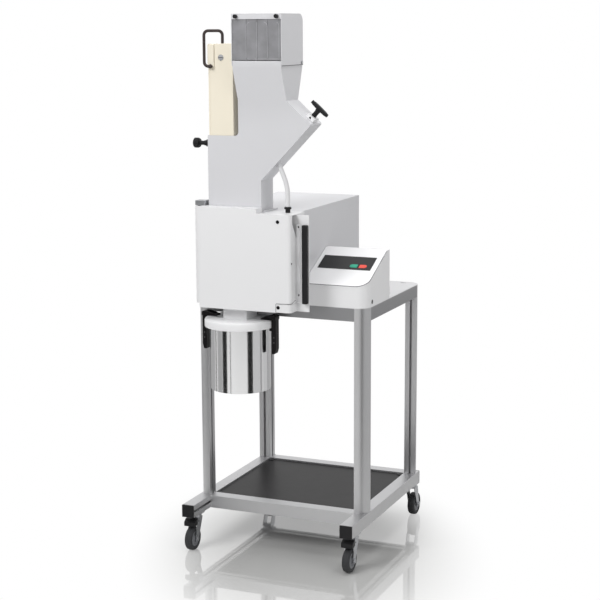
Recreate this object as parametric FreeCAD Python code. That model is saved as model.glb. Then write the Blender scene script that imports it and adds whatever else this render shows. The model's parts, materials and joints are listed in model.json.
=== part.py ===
"""Analytical cutting mill on a castor frame, as an assembly of separate pieces.

Millimetres, +Z up, +X to the right and +Y to the back for someone in front of the door.
The pieces are laid out with x = 0 in the middle of the frame, y = 0 at the front ends of
the base rails and z = 0 on the floor.  export() moves them so that the origin is the
middle of the footprint on the floor.
"""
import FreeCAD, Part
import math
import os

V = FreeCAD.Vector

# Fits and clearances
running_fit = 0.05          # radial play of pins, shafts and bores
face_gap = 0.3              # between faces of pieces that move past each other
overrun = 5.0               # how far cutting solids reach past the faces they open
same_point = 0.000001

# Profile frame
profile = 40.0
profile_edge = 1.5
slot_mouth = 8.2
slot_lip = 4.5
slot_cavity = 16.0
slot_floor = 8.0
slot_depth = 12.3
profile_bore = 6.8
frame_width = 574.0
frame_depth = 510.0
foot_reach = 122.0          # rail ends to the front face of the front legs
floor_clearance = 115.0     # floor to the underside of the base rails
table_height = 801.0
table_sheet = 2.0
end_cap = 6.0
table_slot_length = 22.0
table_slot_width = 7.0
table_slot_shares = [(0.88, 0.96), (0.945, 0.565)]   # across the half width, along the depth

# Bottom shelf
shelf_sheet = 4.0
shelf_recess = 5.0          # shelf surface below the top of the base rails
shelf_clearance = 0.5
bracket_leg = 22.0
bracket_sheet = 3.0
bracket_length = 30.0

# Castors
wheel_diameter = 75.0
wheel_width = 24.0
tyre_thickness = 14.0
tyre_chamfer = 3.0
castor_trail = 25.0
front_castor_inset = 58.0   # rail ends to the front swivel axis
rear_castor_inset = 17.0    # rear swivel axis to the back of the rear legs
castor_plate = 3.0
castor_plate_length = 44.0
kingpin_diameter = 10.0
kingpin_head_diameter = 18.0
kingpin_head = 3.0
race_diameter = 36.0
race_height = 8.4
fork_sheet = 2.5
fork_bridge = 3.0
fork_side_gap = 1.5
fork_reach_back = 16.0
fork_reach_ahead = 18.0
fork_end = 9.0              # half width of the cheeks at the axle
fork_end_round = 6.5
axle_diameter = 8.0
axle_head_diameter = 14.0
axle_head = 4.0

# Brake pedals
pedal_length = 34.0
pedal_height = 22.0
pedal_width = 38.0
pedal_pin_diameter = 6.0
pedal_pin_ahead = 12.0      # swivel axis to the pedal's pivot
pedal_pin_drop = 8.3        # fork bridge to the pedal's pivot
pedal_side_gap = 1.5
pedal_ear_clearance = 8.0   # front edge of the fork bridge to the wide part of the pedal
pedal_outline_shares = [(-0.12, -0.18), (-0.12, 0.18), (0.24, 0.23), (0.35, 0.55), (0.65, 0.55),
                        (1.0, 0.14), (1.0, -0.45), (0.82, -0.45), (0.29, -0.18)]

# Milling chamber and its front frame
mill_left = -215.0
mill_width = 305.0
mill_front = 50.0
front_frame_depth = 62.0
mill_height = 287.0
rotor_from_left = 102.0
rotor_above_table = 104.0
chamber_radius = 74.0
chamber_depth = 87.0
chamber_wall = 10.0
chamber_side_wall = 12.0
feed_width = 172.0
feed_straight = 48.0
feed_lip = 3.0
feed_lip_height = 18.0
outlet_width = 71.0
outlet_depth = 60.0
outlet_front_wall = 4.0
frame_wall = 4.0
bearing_boss_diameter = 88.0
bearing_boss_length = 43.0
bearing_diameter = 62.0
bearing_width = 16.0
bearing_spacing = 18.0
bearing_inset = 5.0
shaft_diameter = 28.0
shaft_stub_diameter = 16.0
shaft_clearance = 1.0

# Rotor, knives, bars and sieve
rotor_gap = 6.0             # chamber mouth to the front of the rotor
rotor_length = 78.0
rotor_hub_diameter = 80.0
knife_tip_radius = 64.0
knife_seat_radius = 38.0
knife_thickness = 8.0
knife_bevel = 2.5
knife_count = 3
lobe_radius = 60.0
lobe_back = 26.0
lobe_shoulder = 8.0
lobe_root_radius = 30.0
rotor_nut_size = 26.0
rotor_nut_height = 4.5
bar_height = 20.0
bar_below_axis = 13.0
bar_thickness = 21.5
bar_bevel = 10.0
bar_radius = 65.5           # reach of the fixed bars towards the rotor
bar_end_gap = 0.5
sieve_radius = 66.5
sieve_sheet = 1.5
sieve_start_angle = 192.0
sieve_end_angle = 348.0
sieve_length = 76.0
sieve_hole = 10.0
sieve_hole_rows = 4
sieve_hole_columns = 9
carrier_start_angle = 195.0
carrier_end_angle = 345.0
carrier_rim = 7.0
carrier_rail_angle = 8.0

# Motor and cover
motor_diameter = 176.0
motor_length = 240.0
motor_flange_diameter = 180.0
motor_flange = 10.0
motor_bore_depth = 30.0
motor_foot_width = 120.0
motor_foot_length = 120.0
terminal_box_width = 90.0
terminal_box_length = 100.0
terminal_box_height = 45.0
cover_left_step = 2.0
cover_right_step = 10.0
cover_length = 488.0
cover_sheet = 2.0
vent_count = 8
vent_width = 180.0
vent_height = 6.0
vent_pitch = 16.0
vent_lift = 60.0

# Door
door_sheet = 2.0
door_depth = 44.7
door_drop = 8.0             # lower edge of the door below the table surface
door_corner = 13.0
raised_width = 193.0
raised_height = 14.5
bevel_top_drop = 25.0
bevel_bottom_drop = 74.0
bevel_front = 14.0          # depth of the side wall that stays above the bevel
hinge_offset = 9.0          # hinge axis outside the left face of the mill
hinge_pin_diameter = 8.0
hinge_barrel_diameter = 15.0
hinge_strip_width = 17.0
hinge_strip_recess = 15.0
hinge_strip_lift = 11.0
hinge_slot_width = 2.0
hinge_slot_length = 200.0
hinge_slot_lift = 58.0
hinge_block_width = 30.0
hinge_block_height = 14.5
hinge_foot_length = 28.0
hinge_foot_width = 9.0
hinge_foot_sheet = 4.0
hinge_foot_setback = 2.0
lower_bracket_reach = 25.0
seal_width = 4.0
seal_depth = 3.0
seal_margin = 3.0
back_plate = 15.0
back_plate_margin = 4.0
back_post_diameter = 16.0
back_post_inset = 22.0

# Door handle
handle_sheet = 3.0
handle_bar_gap = 11.0
handle_bar_width = 31.0
upper_arm_height = 28.0
upper_arm_inset = 60.0
lower_arm_height = 25.0
lower_arm_lift = 1.0
lower_arm_front = 49.0
lower_arm_gap = 0.5
arm_tongue = 21.0
arm_tongue_trim = 5.0
arm_flange = 32.0
grip_width = 17.0
grip_depth = 16.5
grip_round = 7.0
grip_from_edge = 1.0
grip_inset = 1.0
screw_head_diameter = 11.0
screw_head = 2.5
screw_diameter = 6.0
screw_inset = 41.5
upper_screw_drop = 21.0
lower_screw_lift = 16.0

# Hopper
hopper_sheet = 2.0
flange_sheet = 4.0
flange_overlap = 8.0
flange_right_overlap = 12.0
flange_left_overlap = 4.0
throat_height = 95.0
chute_reach = 162.5
chute_rise = 169.0
chute_round = 6.0
mouth_left = -98.5
mouth_width = 157.9
neck_height = 334.0
collar_height = 227.0
collar_round = 12.0
flare_front = 35.0
flare_rear = 33.0
funnel_height = 94.0
band_height = 22.5

# Hood and curtain
hood_sheet = 1.5
hood_height = 151.0
hood_overlap = 14.5
hood_round = 25.0
hood_strip = 16.0
hood_back_lift = 18.0
hood_pin_diameter = 6.0
hood_pin_inset = 8.0
hood_pin_head_diameter = 10.0
hood_pin_head = 2.5
curtain_sheet = 2.0
curtain_header_diameter = 4.0
curtain_header_drop = 11.0
curtain_lift = 2.5
curtain_slit = 0.8
curtain_slit_shares = [0.295, 0.515, 0.73]
curtain_end_gap = 0.5
curtain_knob_diameter = 12.0
curtain_knob_height = 8.0
curtain_knob_inset = 15.0
curtain_shank_diameter = 4.0

# Plunger and its handle
plunger_gap = 1.3
plunger_side_gap = 1.5
plunger_width = 82.0
plunger_height = 326.0
plunger_engage = 53.0
plunger_collar_gap = 0.5
plunger_wall = 3.0
plunger_base = 6.0
plunger_groove_width = 12.0
plunger_groove = 5.0
plunger_strip_inset = 0.5
plunger_tab_width = 21.0
plunger_tab_height = 70.0
plunger_tab = 4.0
plunger_tab_drop = 2.0
handle_rod_diameter = 9.0
handle_rise = 38.0
handle_right_inset = 45.0
handle_right_depth = 8.0
handle_left_reach = 8.3
handle_fall = 67.0
handle_hook = 20.0
handle_bend = 13.0

# Index knob
index_drop = 27.0
index_diameter = 31.0
index_disc = 19.0
index_disc_bevel = 3.0
index_neck_diameter = 13.0
index_neck = 15.7
index_sleeve_diameter = 16.0
index_sleeve_length = 8.0
index_flange_diameter = 22.0
index_flange_length = 24.0
index_nose_diameter = 8.0
index_nose_reach = 3.0

# Pusher
pusher_corner_distance = 23.0
pusher_rod_diameter = 10.0
pusher_hole_gap = 0.5
pusher_depth = 108.0
pusher_plate = 4.0
pusher_plate_below = 14.0
pusher_plate_above = 40.0
pusher_plate_width = 72.0
guide_length = 28.0
guide_width = 36.0
guide_height = 12.0
grip_bar_height = 41.0
grip_bar_length = 64.0
grip_bar_diameter = 11.0
grip_stem_diameter = 14.0

# Conduit between the front frame and the hopper
gland_inset = 36.0
gland_setback = 20.0
gland_diameter = 15.0
gland_height = 18.0
gland_collar_diameter = 22.0
gland_collar = 7.0
conduit_diameter = 14.0
conduit_rise = 59.0
conduit_boss_diameter = 18.0
conduit_boss = 10.0
conduit_floor_share = 0.31
conduit_bend_share = 0.45

# Control box
control_gap = 1.0           # motor cover to the control box
control_depth = 203.0
control_height = 153.0
control_front_height = 66.0
control_top_depth = 20.0
control_sheet = 2.0
panel_width = 173.0
panel_height = 70.0
panel_sheet = 1.0
panel_right_inset = 19.0
panel_up = 87.5
key_length = 24.0
key_height = 17.5
key_spacing = 6.5
key_right_inset = 17.0
key_up = 10.0
key_round = 8.4
key_inner_round = 1.0
key_proud = 1.6
key_depth = 8.0
key_gap = 0.3

# Receiver
lid_diameter = 220.0
lid_height = 25.0
lid_round = 6.0
lid_bevel = 1.8
lid_skirt = 6.0
lid_plate = 10.0
lid_top_drop = 45.0         # table surface to the top of the lid
neck_wall = 4.0
neck_front_room = 8.0       # the neck's lower part reaches this far in front of its upper part
neck_door_gap = 2.0
gasket_width = 16.0
gasket_sheet = 3.0
gasket_inset = 4.0
can_diameter = 186.0
can_height = 208.7
can_wall = 1.5
can_floor = 2.0
can_rim = 5.0
can_rim_height = 2.0

# Receiver clamps
clamp_thickness = 14.0
clamp_width = 24.0
clamp_top_above_lid = 14.0
clamp_drop = 106.0          # top of the lid to the lower end of the levers
clamp_pivot_above_lid = 7.0
clamp_pin_diameter = 6.0
clamp_ear = 4.0
clamp_base_length = 30.0
clamp_base_sheet = 4.0
clamp_taper = 4.0
clamp_round = 5.0
clamp_nose = 8.0
clamp_nose_height = 7.0
clamp_nose_gap = 2.0
clamp_lid_gap = 1.0
clamp_taper_share = 0.85

# Places that several pieces share
half_width = frame_width / 2
inner_half = half_width - profile
leg_front = foot_reach
leg_rear = foot_reach + frame_depth
base_top = floor_clearance + profile
table_under = table_height - table_sheet
mill_right = mill_left + mill_width
mill_top = table_height + mill_height
frame_rear = mill_front + front_frame_depth
rotor_x = mill_left + rotor_from_left
rotor_z = table_height + rotor_above_table
feed_left = rotor_x - feed_width / 2
feed_right = rotor_x + feed_width / 2
chamber_rear = mill_front + chamber_depth
block_rear = chamber_rear + chamber_wall
block_left = feed_left - chamber_side_wall
block_right = feed_right + chamber_side_wall
hopper_inner_front = mill_front + feed_lip
hopper_inner_rear = chamber_rear
hopper_front = hopper_inner_front - hopper_sheet
hopper_rear = hopper_inner_rear + hopper_sheet
hopper_middle = (hopper_front + hopper_rear) / 2
outlet_front = mill_front + outlet_front_wall
outlet_rear = outlet_front + outlet_depth
lid_top = table_height - lid_top_drop
lid_under = lid_top - lid_plate
lid_y = outlet_rear - outlet_depth / 2 - outlet_front_wall
wheel_radius = wheel_diameter / 2
front_castor_y = front_castor_inset
rear_castor_y = leg_rear - rear_castor_inset
row_front = lid_y - lid_diameter / 2
row_rear = rear_castor_y + castor_trail + wheel_radius
row_middle = (row_front + row_rear) / 2

ORIGIN = V(0, 0, 0)
X = V(1, 0, 0)
Y = V(0, 1, 0)
Z = V(0, 0, 1)
XY = (ORIGIN, X, Y, Z)
XZ = (ORIGIN, X, Z, Y)
YZ = (ORIGIN, Y, Z, X)


def export(name, shapes):
    """Write one node, moved so that the middle of the footprint is the origin."""
    solids = [solid for shape in shapes for solid in shape.Solids]
    whole = Part.makeCompound(solids) if len(solids) > 1 else solids[0].copy()
    whole.translate(Y * -row_middle)
    whole.exportStep(f"parts/{name}.step")


def box(x0, x1, y0, y1, z0, z1):
    """Block between two values on each axis."""
    return Part.makeBox(x1 - x0, y1 - y0, z1 - z0, V(x0, y0, z0))


def rod(start, axis, length, diameter):
    """Round bar from a point along an axis."""
    return Part.makeCylinder(diameter / 2, length, start, axis)


def rounded_wire(plane, corners, level=0):
    """Closed wire through (across, up, radius) corners; a corner without a radius is sharp."""
    origin, across, up, normal = plane
    radii = [corner[2] if len(corner) > 2 else 0 for corner in corners]
    points = [origin + across * c[0] + up * c[1] + normal * level for c in corners]
    stretches = []
    for index, corner in enumerate(points):
        ahead = points[(index + 1) % len(points)] - corner
        back = points[index - 1] - corner
        ahead.normalize()
        back.normalize()
        if radii[index] == 0:
            stretches.append((corner, None, corner))
            continue
        half_turn = back.getAngle(ahead) / 2
        inward = back + ahead
        inward.normalize()
        reach = radii[index] / math.tan(half_turn)
        middle = corner + inward * (radii[index] / math.sin(half_turn) - radii[index])
        stretches.append((corner + back * reach, middle, corner + ahead * reach))
    edges = []
    for index, (start, middle, end) in enumerate(stretches):
        if middle is not None:
            edges.append(Part.Arc(start, middle, end).toShape())
        following = stretches[(index + 1) % len(stretches)][0]
        if end.distanceToPoint(following) > same_point:
            edges.append(Part.LineSegment(end, following).toShape())
    return Part.Wire(edges)


def prism(plane, corners, start, end):
    """Solid of a rounded outline between two levels along its plane's normal."""
    face = Part.Face(rounded_wire(plane, corners, start))
    return face.extrude(plane[3] * (end - start))


def turned(centre, radial, axis, corners):
    """Solid of revolution of an outline of (radius, height, rounding) about an axis."""
    plane = (centre, radial, axis, radial.cross(axis))
    return Part.Face(rounded_wire(plane, corners)).revolve(centre, axis, 360)


def bent_rod(points, bend_radii, diameter):
    """Round rod along straight runs that arcs join at the inner points."""
    edges = []
    start = points[0]
    for before, corner, after, radius in zip(points, points[1:], points[2:], bend_radii):
        back = before - corner
        ahead = after - corner
        back.normalize()
        ahead.normalize()
        half_turn = back.getAngle(ahead) / 2
        inward = back + ahead
        inward.normalize()
        reach = radius / math.tan(half_turn)
        middle = corner + inward * (radius / math.sin(half_turn) - radius)
        edges.append(Part.LineSegment(start, corner + back * reach).toShape())
        edges.append(Part.Arc(corner + back * reach, middle, corner + ahead * reach).toShape())
        start = corner + ahead * reach
    edges.append(Part.LineSegment(start, points[-1]).toShape())
    ring = Part.Wire(Part.makeCircle(diameter / 2, points[0], points[1] - points[0]))
    return Part.Wire(edges).makePipeShell([ring], True, True)


def scaled(shares, width, height):
    """Outline corners from shares of a width and a height."""
    return [(across * width, up * height) for across, up in shares]


def polar(radius, angle):
    """In-plane X and Z of a point round the rotor axis, the angle in degrees."""
    turn = math.radians(angle)
    return rotor_x + radius * math.cos(turn), rotor_z + radius * math.sin(turn)


def slotted_section(outer_round):
    """Profile outline with its outer corner at (0, 0) and T-slots in the two inner faces."""
    middle = profile / 2
    lip = profile - slot_lip
    floor = profile - slot_depth
    slot = [(profile, middle - slot_mouth / 2), (lip, middle - slot_mouth / 2),
            (lip, middle - slot_cavity / 2), (floor, middle - slot_floor / 2),
            (floor, middle + slot_floor / 2), (lip, middle + slot_cavity / 2),
            (lip, middle + slot_mouth / 2), (profile, middle + slot_mouth / 2)]
    other = [(up, across) for across, up in reversed(slot)]
    corners = [(0, 0, outer_round), (profile, 0)] + slot + [(profile, profile)] + other
    return corners + [(0, profile)]


def profile_bar(origin, across, up, axis, length, outer_round):
    """Length of slotted profile whose outer corner runs from the origin along the axis."""
    plane = (origin, across, up, axis)
    bar = prism(plane, slotted_section(outer_round), 0, length)
    core = origin + (across + up) * (profile / 2)
    return bar.cut(rod(core, axis, length, profile_bore))


def build_frame():
    """Legs, base rails, table rails, caps, table sheet and shelf."""
    legs = []
    base_rails = []
    table_rails = []
    caps = []
    leg_length = table_under - base_top
    for side in (-1, 1):
        corner_x = side * half_width
        inward = X * -side
        for corner_y, back in ((leg_front, Y), (leg_rear, Y * -1)):
            foot = V(corner_x, corner_y, base_top)
            legs.append(profile_bar(foot, inward, back, Z, leg_length, profile))
        rail_start = V(corner_x, end_cap, base_top)
        rail_length = leg_rear - end_cap
        base_rails.append(profile_bar(rail_start, inward, Z * -1, Y, rail_length, profile_edge))
        table_start = V(corner_x, leg_front + profile, table_under)
        side_length = frame_depth - profile * 2
        table_rails.append(profile_bar(table_start, inward, Z * -1, Y, side_length, profile_edge))
        inner_x = side * inner_half
        cap_x = sorted((corner_x, inner_x))
        caps.append(box(*cap_x, 0, end_cap, floor_clearance, base_top))
        caps.append(box(*cap_x, leg_rear, leg_rear + end_cap, floor_clearance, base_top))
    for top, rails in ((base_top, base_rails), (table_under, table_rails)):
        for corner_y, back in ((leg_front, Y), (leg_rear, Y * -1)):
            start = V(-inner_half, corner_y, top)
            rails.append(profile_bar(start, back, Z * -1, X, inner_half * 2, profile_edge))
    export("legs", legs)
    export("base_rails", base_rails)
    export("table_rails", table_rails)
    export("rail_end_caps", caps)

    corners = [(-half_width, leg_front, profile), (half_width, leg_front, profile),
               (half_width, leg_rear, profile), (-half_width, leg_rear, profile)]
    sheet = prism(XY, corners, table_under, table_height)
    for across_share, depth_share in table_slot_shares:
        centre_x = half_width * across_share - profile / 2
        centre_y = leg_front + frame_depth * depth_share
        reach = table_slot_length / 2
        half = table_slot_width / 2
        sides = [(centre_x - reach, centre_y - half, half), (centre_x + reach, centre_y - half, half),
                 (centre_x + reach, centre_y + half, half), (centre_x - reach, centre_y + half, half)]
        sheet = sheet.cut(prism(XY, sides, table_under - overrun, table_height + overrun))
    export("table_top", [sheet])


def build_shelf():
    """Shelf between the base rails and the angle brackets that carry it."""
    top = base_top - shelf_recess
    under = top - shelf_sheet
    side = inner_half - shelf_clearance
    front = leg_front + profile + shelf_clearance
    rear = leg_rear - profile - shelf_clearance
    export("bottom_shelf", [box(-side, side, front, rear, under, top)])
    brackets = []
    for sign in (-1, 1):
        wall = inner_half * sign
        foot = wall - bracket_leg * sign
        inner = wall - bracket_sheet * sign
        outline = [(wall, under), (foot, under), (foot, under - bracket_sheet),
                   (inner, under - bracket_sheet), (inner, under - bracket_leg),
                   (wall, under - bracket_leg)]
        for start in (front + bracket_leg, rear - bracket_leg - bracket_length):
            brackets.append(prism(XZ, outline, start, start + bracket_length))
    export("shelf_brackets", brackets)


def build_castor(name, centre_x, centre_y, ahead, with_pedal):
    """One swivel castor; ahead is +1 or -1 along Y, the way its wheel trails."""
    plate_top = floor_clearance
    plate_under = plate_top - castor_plate
    race_top = plate_under - face_gap
    bridge_top = race_top - race_height
    bridge_under = bridge_top - fork_bridge
    head_top = bridge_under - face_gap
    bore = kingpin_diameter + running_fit * 2
    foot = V(centre_x, centre_y, 0)
    half_plate = profile / 2
    plate = box(centre_x - half_plate, centre_x + half_plate, centre_y - castor_plate_length / 2,
                centre_y + castor_plate_length / 2, plate_under, plate_top)
    pin = rod(foot + Z * head_top, Z, plate_under - head_top, kingpin_diameter)
    head = rod(foot + Z * (head_top - kingpin_head), Z, kingpin_head, kingpin_head_diameter)
    mount = plate.fuse([pin, head]).removeSplitter()

    inner = wheel_width / 2 + fork_side_gap
    outer = inner + fork_sheet
    side = (foot, Y * ahead, Z, X)
    cheek = [(-fork_reach_back, bridge_top, fork_sheet), (fork_reach_ahead, bridge_top, fork_sheet),
             (castor_trail + fork_end, wheel_radius - fork_end, fork_end_round),
             (castor_trail - fork_end, wheel_radius - fork_end, fork_end_round)]
    fork = prism(side, cheek, -outer, outer)
    hollow = [(-fork_reach_back - overrun, bridge_under),
              (castor_trail + fork_end + overrun, bridge_under),
              (castor_trail + fork_end + overrun, 0), (-fork_reach_back - overrun, 0)]
    fork = fork.cut(prism(side, hollow, -inner, inner))
    fork = fork.fuse(rod(foot + Z * bridge_top, Z, race_height, race_diameter))
    fork = fork.cut(rod(foot, Z, plate_top, bore))
    axle_at = foot + Y * (ahead * castor_trail) + Z * wheel_radius
    shank = rod(axle_at - X * outer, X, outer * 2, axle_diameter)
    fork = fork.cut(shank)
    left_head = rod(axle_at - X * (outer + axle_head), X, axle_head, axle_head_diameter)
    right_head = rod(axle_at + X * outer, X, axle_head, axle_head_diameter)
    axle = shank.fuse([left_head, right_head]).removeSplitter()
    pivot_z = bridge_under - pedal_pin_drop
    pivot = foot + Y * (ahead * pedal_pin_ahead) + Z * pivot_z
    if with_pedal:
        fork = fork.cut(rod(pivot - X * outer, X, outer * 2, pedal_pin_diameter + running_fit * 2))
    export(f"fork_{name}", [fork.removeSplitter(), axle])

    half = wheel_width / 2
    hub_radius = wheel_radius - tyre_thickness
    axle_bore = axle_diameter / 2 + running_fit
    hub = turned(axle_at, Z, X, [(axle_bore, -half), (hub_radius, -half), (hub_radius, half),
                                 (axle_bore, half)])
    edge = wheel_radius - tyre_chamfer
    flat = half - tyre_chamfer
    tyre = turned(axle_at, Z, X, [(hub_radius, -half), (edge, -half), (wheel_radius, -flat),
                                  (wheel_radius, flat), (edge, half), (hub_radius, half)])
    export(f"wheel_{name}", [hub, tyre])
    if with_pedal:
        build_pedal(name.split("_")[1], pivot, ahead, inner, outer)
    return mount


def build_pedal(name, pivot, ahead, inner, outer):
    """Brake pedal that turns about a pin between the fork's cheeks."""
    side = (pivot, Y * ahead, Z, X)
    outline = scaled(pedal_outline_shares, pedal_length, pedal_height)
    half = pedal_width / 2
    ear_start = fork_reach_ahead + pedal_ear_clearance - pedal_pin_ahead
    ears = prism(side, outline, -half, half)
    behind = [(ear_start, -pedal_height), (ear_start, pedal_height),
              (-pedal_length, pedal_height), (-pedal_length, -pedal_height)]
    ears = ears.cut(prism(side, behind, -half - overrun, half + overrun))
    arm = inner - pedal_side_gap
    pedal = prism(side, outline, -arm, arm).fuse([ears])
    pin = rod(pivot - X * outer, X, outer * 2, pedal_pin_diameter)
    export(f"brake_pedal_{name}", [pedal.fuse(pin).removeSplitter()])


def build_castors():
    """Four castors under the ends of the base rails."""
    rail_x = half_width - profile / 2
    mounts = []
    for side, side_name in ((-1, "left"), (1, "right")):
        centre_x = side * rail_x
        mounts.append(build_castor(f"front_{side_name}", centre_x, front_castor_y, -1, True))
        mounts.append(build_castor(f"rear_{side_name}", centre_x, rear_castor_y, 1, False))
    export("castor_mounts", mounts)


def arc_band(inner, outer, front, rear, start_angle, end_angle):
    """Part of a tube round the rotor axis, from one angle to another in degrees."""
    turn = math.radians(start_angle)
    radial = X * math.cos(turn) + Z * math.sin(turn)
    centre = V(rotor_x, 0, rotor_z)
    corners = [(inner, front), (outer, front), (outer, rear), (inner, rear)]
    face = Part.Face(rounded_wire((centre, radial, Y, Z), corners))
    return face.revolve(centre, Y * -1, end_angle - start_angle)


def bar_outline(side):
    """Section of a fixed cutting bar; side is -1 for the left bar and +1 for the right."""
    outer = rotor_x + side * (bar_radius + bar_thickness)
    edge = rotor_x + side * bar_radius
    low = rotor_z - bar_below_axis
    high = low + bar_height
    return [(outer, low), (edge, low), (edge, rotor_z), (edge + side * bar_bevel, high),
            (outer, high)]


def seal_frame(spread):
    """Rounded outline round the chamber mouth, a given distance outside its openings."""
    left = feed_left - spread
    right = feed_right + spread
    low = rotor_z - chamber_radius - spread
    high = mill_top - feed_lip_height + spread
    return [(left, low, spread), (right, low, spread), (right, high, spread), (left, high, spread)]


def build_chamber():
    """Chamber housing and its floor block, with bars, sieve, carrier, seal, neck and bearings."""
    front_frame = box(mill_left, mill_right, mill_front, frame_rear, table_height, mill_top)
    block = box(block_left, block_right, mill_front, block_rear, table_height, mill_top)
    boss_centre = V(rotor_x, block_rear - chamber_wall, rotor_z)
    boss_length = chamber_wall + bearing_boss_length
    boss = rod(boss_centre, Y, boss_length, bearing_boss_diameter)
    housing = front_frame.fuse([block, boss])
    pocket = box(block_right + frame_wall, mill_right - frame_wall, mill_front + frame_wall,
                 frame_rear + overrun, table_height + frame_wall, mill_top - frame_wall)
    mouth = V(rotor_x, mill_front - overrun, rotor_z)
    bore = rod(mouth, Y, chamber_depth + overrun, chamber_radius * 2)
    shoulder = mill_top - feed_straight
    channel = [(feed_left, mill_top + overrun), (feed_left, shoulder),
               (rotor_x - chamber_radius, rotor_z), (rotor_x + chamber_radius, rotor_z),
               (feed_right, shoulder), (feed_right, mill_top + overrun)]
    feed = prism(XZ, channel, hopper_inner_front, chamber_rear)
    lip_under = mill_top - feed_lip_height
    low_channel = [(feed_left, lip_under)] + channel[1:5] + [(feed_right, lip_under)]
    mouth_cut = prism(XZ, low_channel, mill_front - overrun, hopper_inner_front)
    outlet_left = rotor_x - outlet_width / 2
    outlet_right = rotor_x + outlet_width / 2
    outlet = box(outlet_left, outlet_right, outlet_front, outlet_rear, table_height - overrun, rotor_z)
    first_bearing = block_rear + bearing_inset
    shaft_hole = rod(boss_centre, Y, boss_length, shaft_diameter + shaft_clearance * 2)
    seat = rod(V(rotor_x, first_bearing, rotor_z), Y, boss_length, bearing_diameter)
    groove_inner = prism(XZ, seal_frame(seal_margin), mill_front, mill_front + seal_depth)
    groove_outer = prism(XZ, seal_frame(seal_margin + seal_width), mill_front, mill_front + seal_depth)
    seal = groove_outer.cut(groove_inner)
    bars = []
    pockets = []
    for side in (-1, 1):
        outline = bar_outline(side)
        bars.append(prism(XZ, outline, mill_front + bar_end_gap, chamber_rear - bar_end_gap))
        low = outline[0][1]
        high = outline[-1][1]
        ends = sorted((outline[0][0], rotor_x))
        pockets.append(box(*ends, mill_front - overrun, chamber_rear, low, high))
    housing = housing.cut([pocket, bore, feed, mouth_cut, outlet, shaft_hole, seat, seal] + pockets)
    housing = housing.removeSplitter()
    floor_room = box(mill_left - overrun, block_right, mill_front - overrun, block_rear + overrun,
                     table_height - overrun, rotor_z - chamber_radius - chamber_wall)
    export("chamber_housing", [housing.cut(floor_room), housing.common(floor_room)])
    export("cutting_bars", bars)
    export("door_seal", [seal])

    rings = []
    for start in (first_bearing, first_bearing + bearing_spacing):
        ring = rod(V(rotor_x, start, rotor_z), Y, bearing_width, bearing_diameter)
        inner = shaft_diameter + running_fit * 2
        rings.append(ring.cut(rod(V(rotor_x, start, rotor_z), Y, bearing_width, inner)))
    export("shaft_bearings", rings)
    build_sieve()

    step = table_height - door_drop - neck_door_gap
    side = outlet_width / 2 + neck_wall
    upper = box(rotor_x - side, rotor_x + side, outlet_front - neck_wall, outlet_rear + neck_wall,
                step, table_height)
    lower = box(rotor_x - side, rotor_x + side, outlet_front - neck_wall - neck_front_room,
                outlet_rear + neck_wall, lid_top, step)
    inside = box(outlet_left, outlet_right, outlet_front, outlet_rear, lid_top, table_height)
    export("outlet_neck", [upper.fuse(lower).cut(inside).removeSplitter()])


def build_sieve():
    """Perforated sieve under the rotor and the carrier that holds it."""
    middle = mill_front + rotor_gap + rotor_length / 2
    front = middle - sieve_length / 2
    outer = sieve_radius + sieve_sheet
    sheet = arc_band(sieve_radius, outer, front, front + sieve_length,
                     sieve_start_angle, sieve_end_angle)
    centre = V(rotor_x, 0, rotor_z)
    angle_pitch = (sieve_end_angle - sieve_start_angle) / sieve_hole_columns
    row_pitch = sieve_length / sieve_hole_rows
    half = sieve_hole / 2
    holes = []
    for column in range(sieve_hole_columns):
        turn = math.radians(sieve_start_angle + angle_pitch * (column + 0.5))
        radial = X * math.cos(turn) + Z * math.sin(turn)
        tangent = Z * math.cos(turn) - X * math.sin(turn)
        plane = (centre, radial, tangent, Y)
        corners = [(sieve_radius - sieve_sheet, -half), (outer + sieve_sheet, -half),
                   (outer + sieve_sheet, half), (sieve_radius - sieve_sheet, half)]
        for row in range(sieve_hole_rows):
            start = front + row_pitch * (row + 0.5) - half
            holes.append(prism(plane, corners, start, start + sieve_hole))
    export("bottom_sieve", [sheet.cut(holes)])

    rim_outer = chamber_radius - face_gap
    carrier_front = middle - rotor_length / 2
    carrier_rear = middle + rotor_length / 2
    carrier = arc_band(outer, rim_outer, carrier_front, carrier_rear,
                       carrier_start_angle, carrier_end_angle)
    window = arc_band(outer - sieve_sheet, rim_outer + sieve_sheet, carrier_front + carrier_rim,
                      carrier_rear - carrier_rim, carrier_start_angle + carrier_rail_angle,
                      carrier_end_angle - carrier_rail_angle)
    export("sieve_carrier", [carrier.cut(window)])


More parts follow.
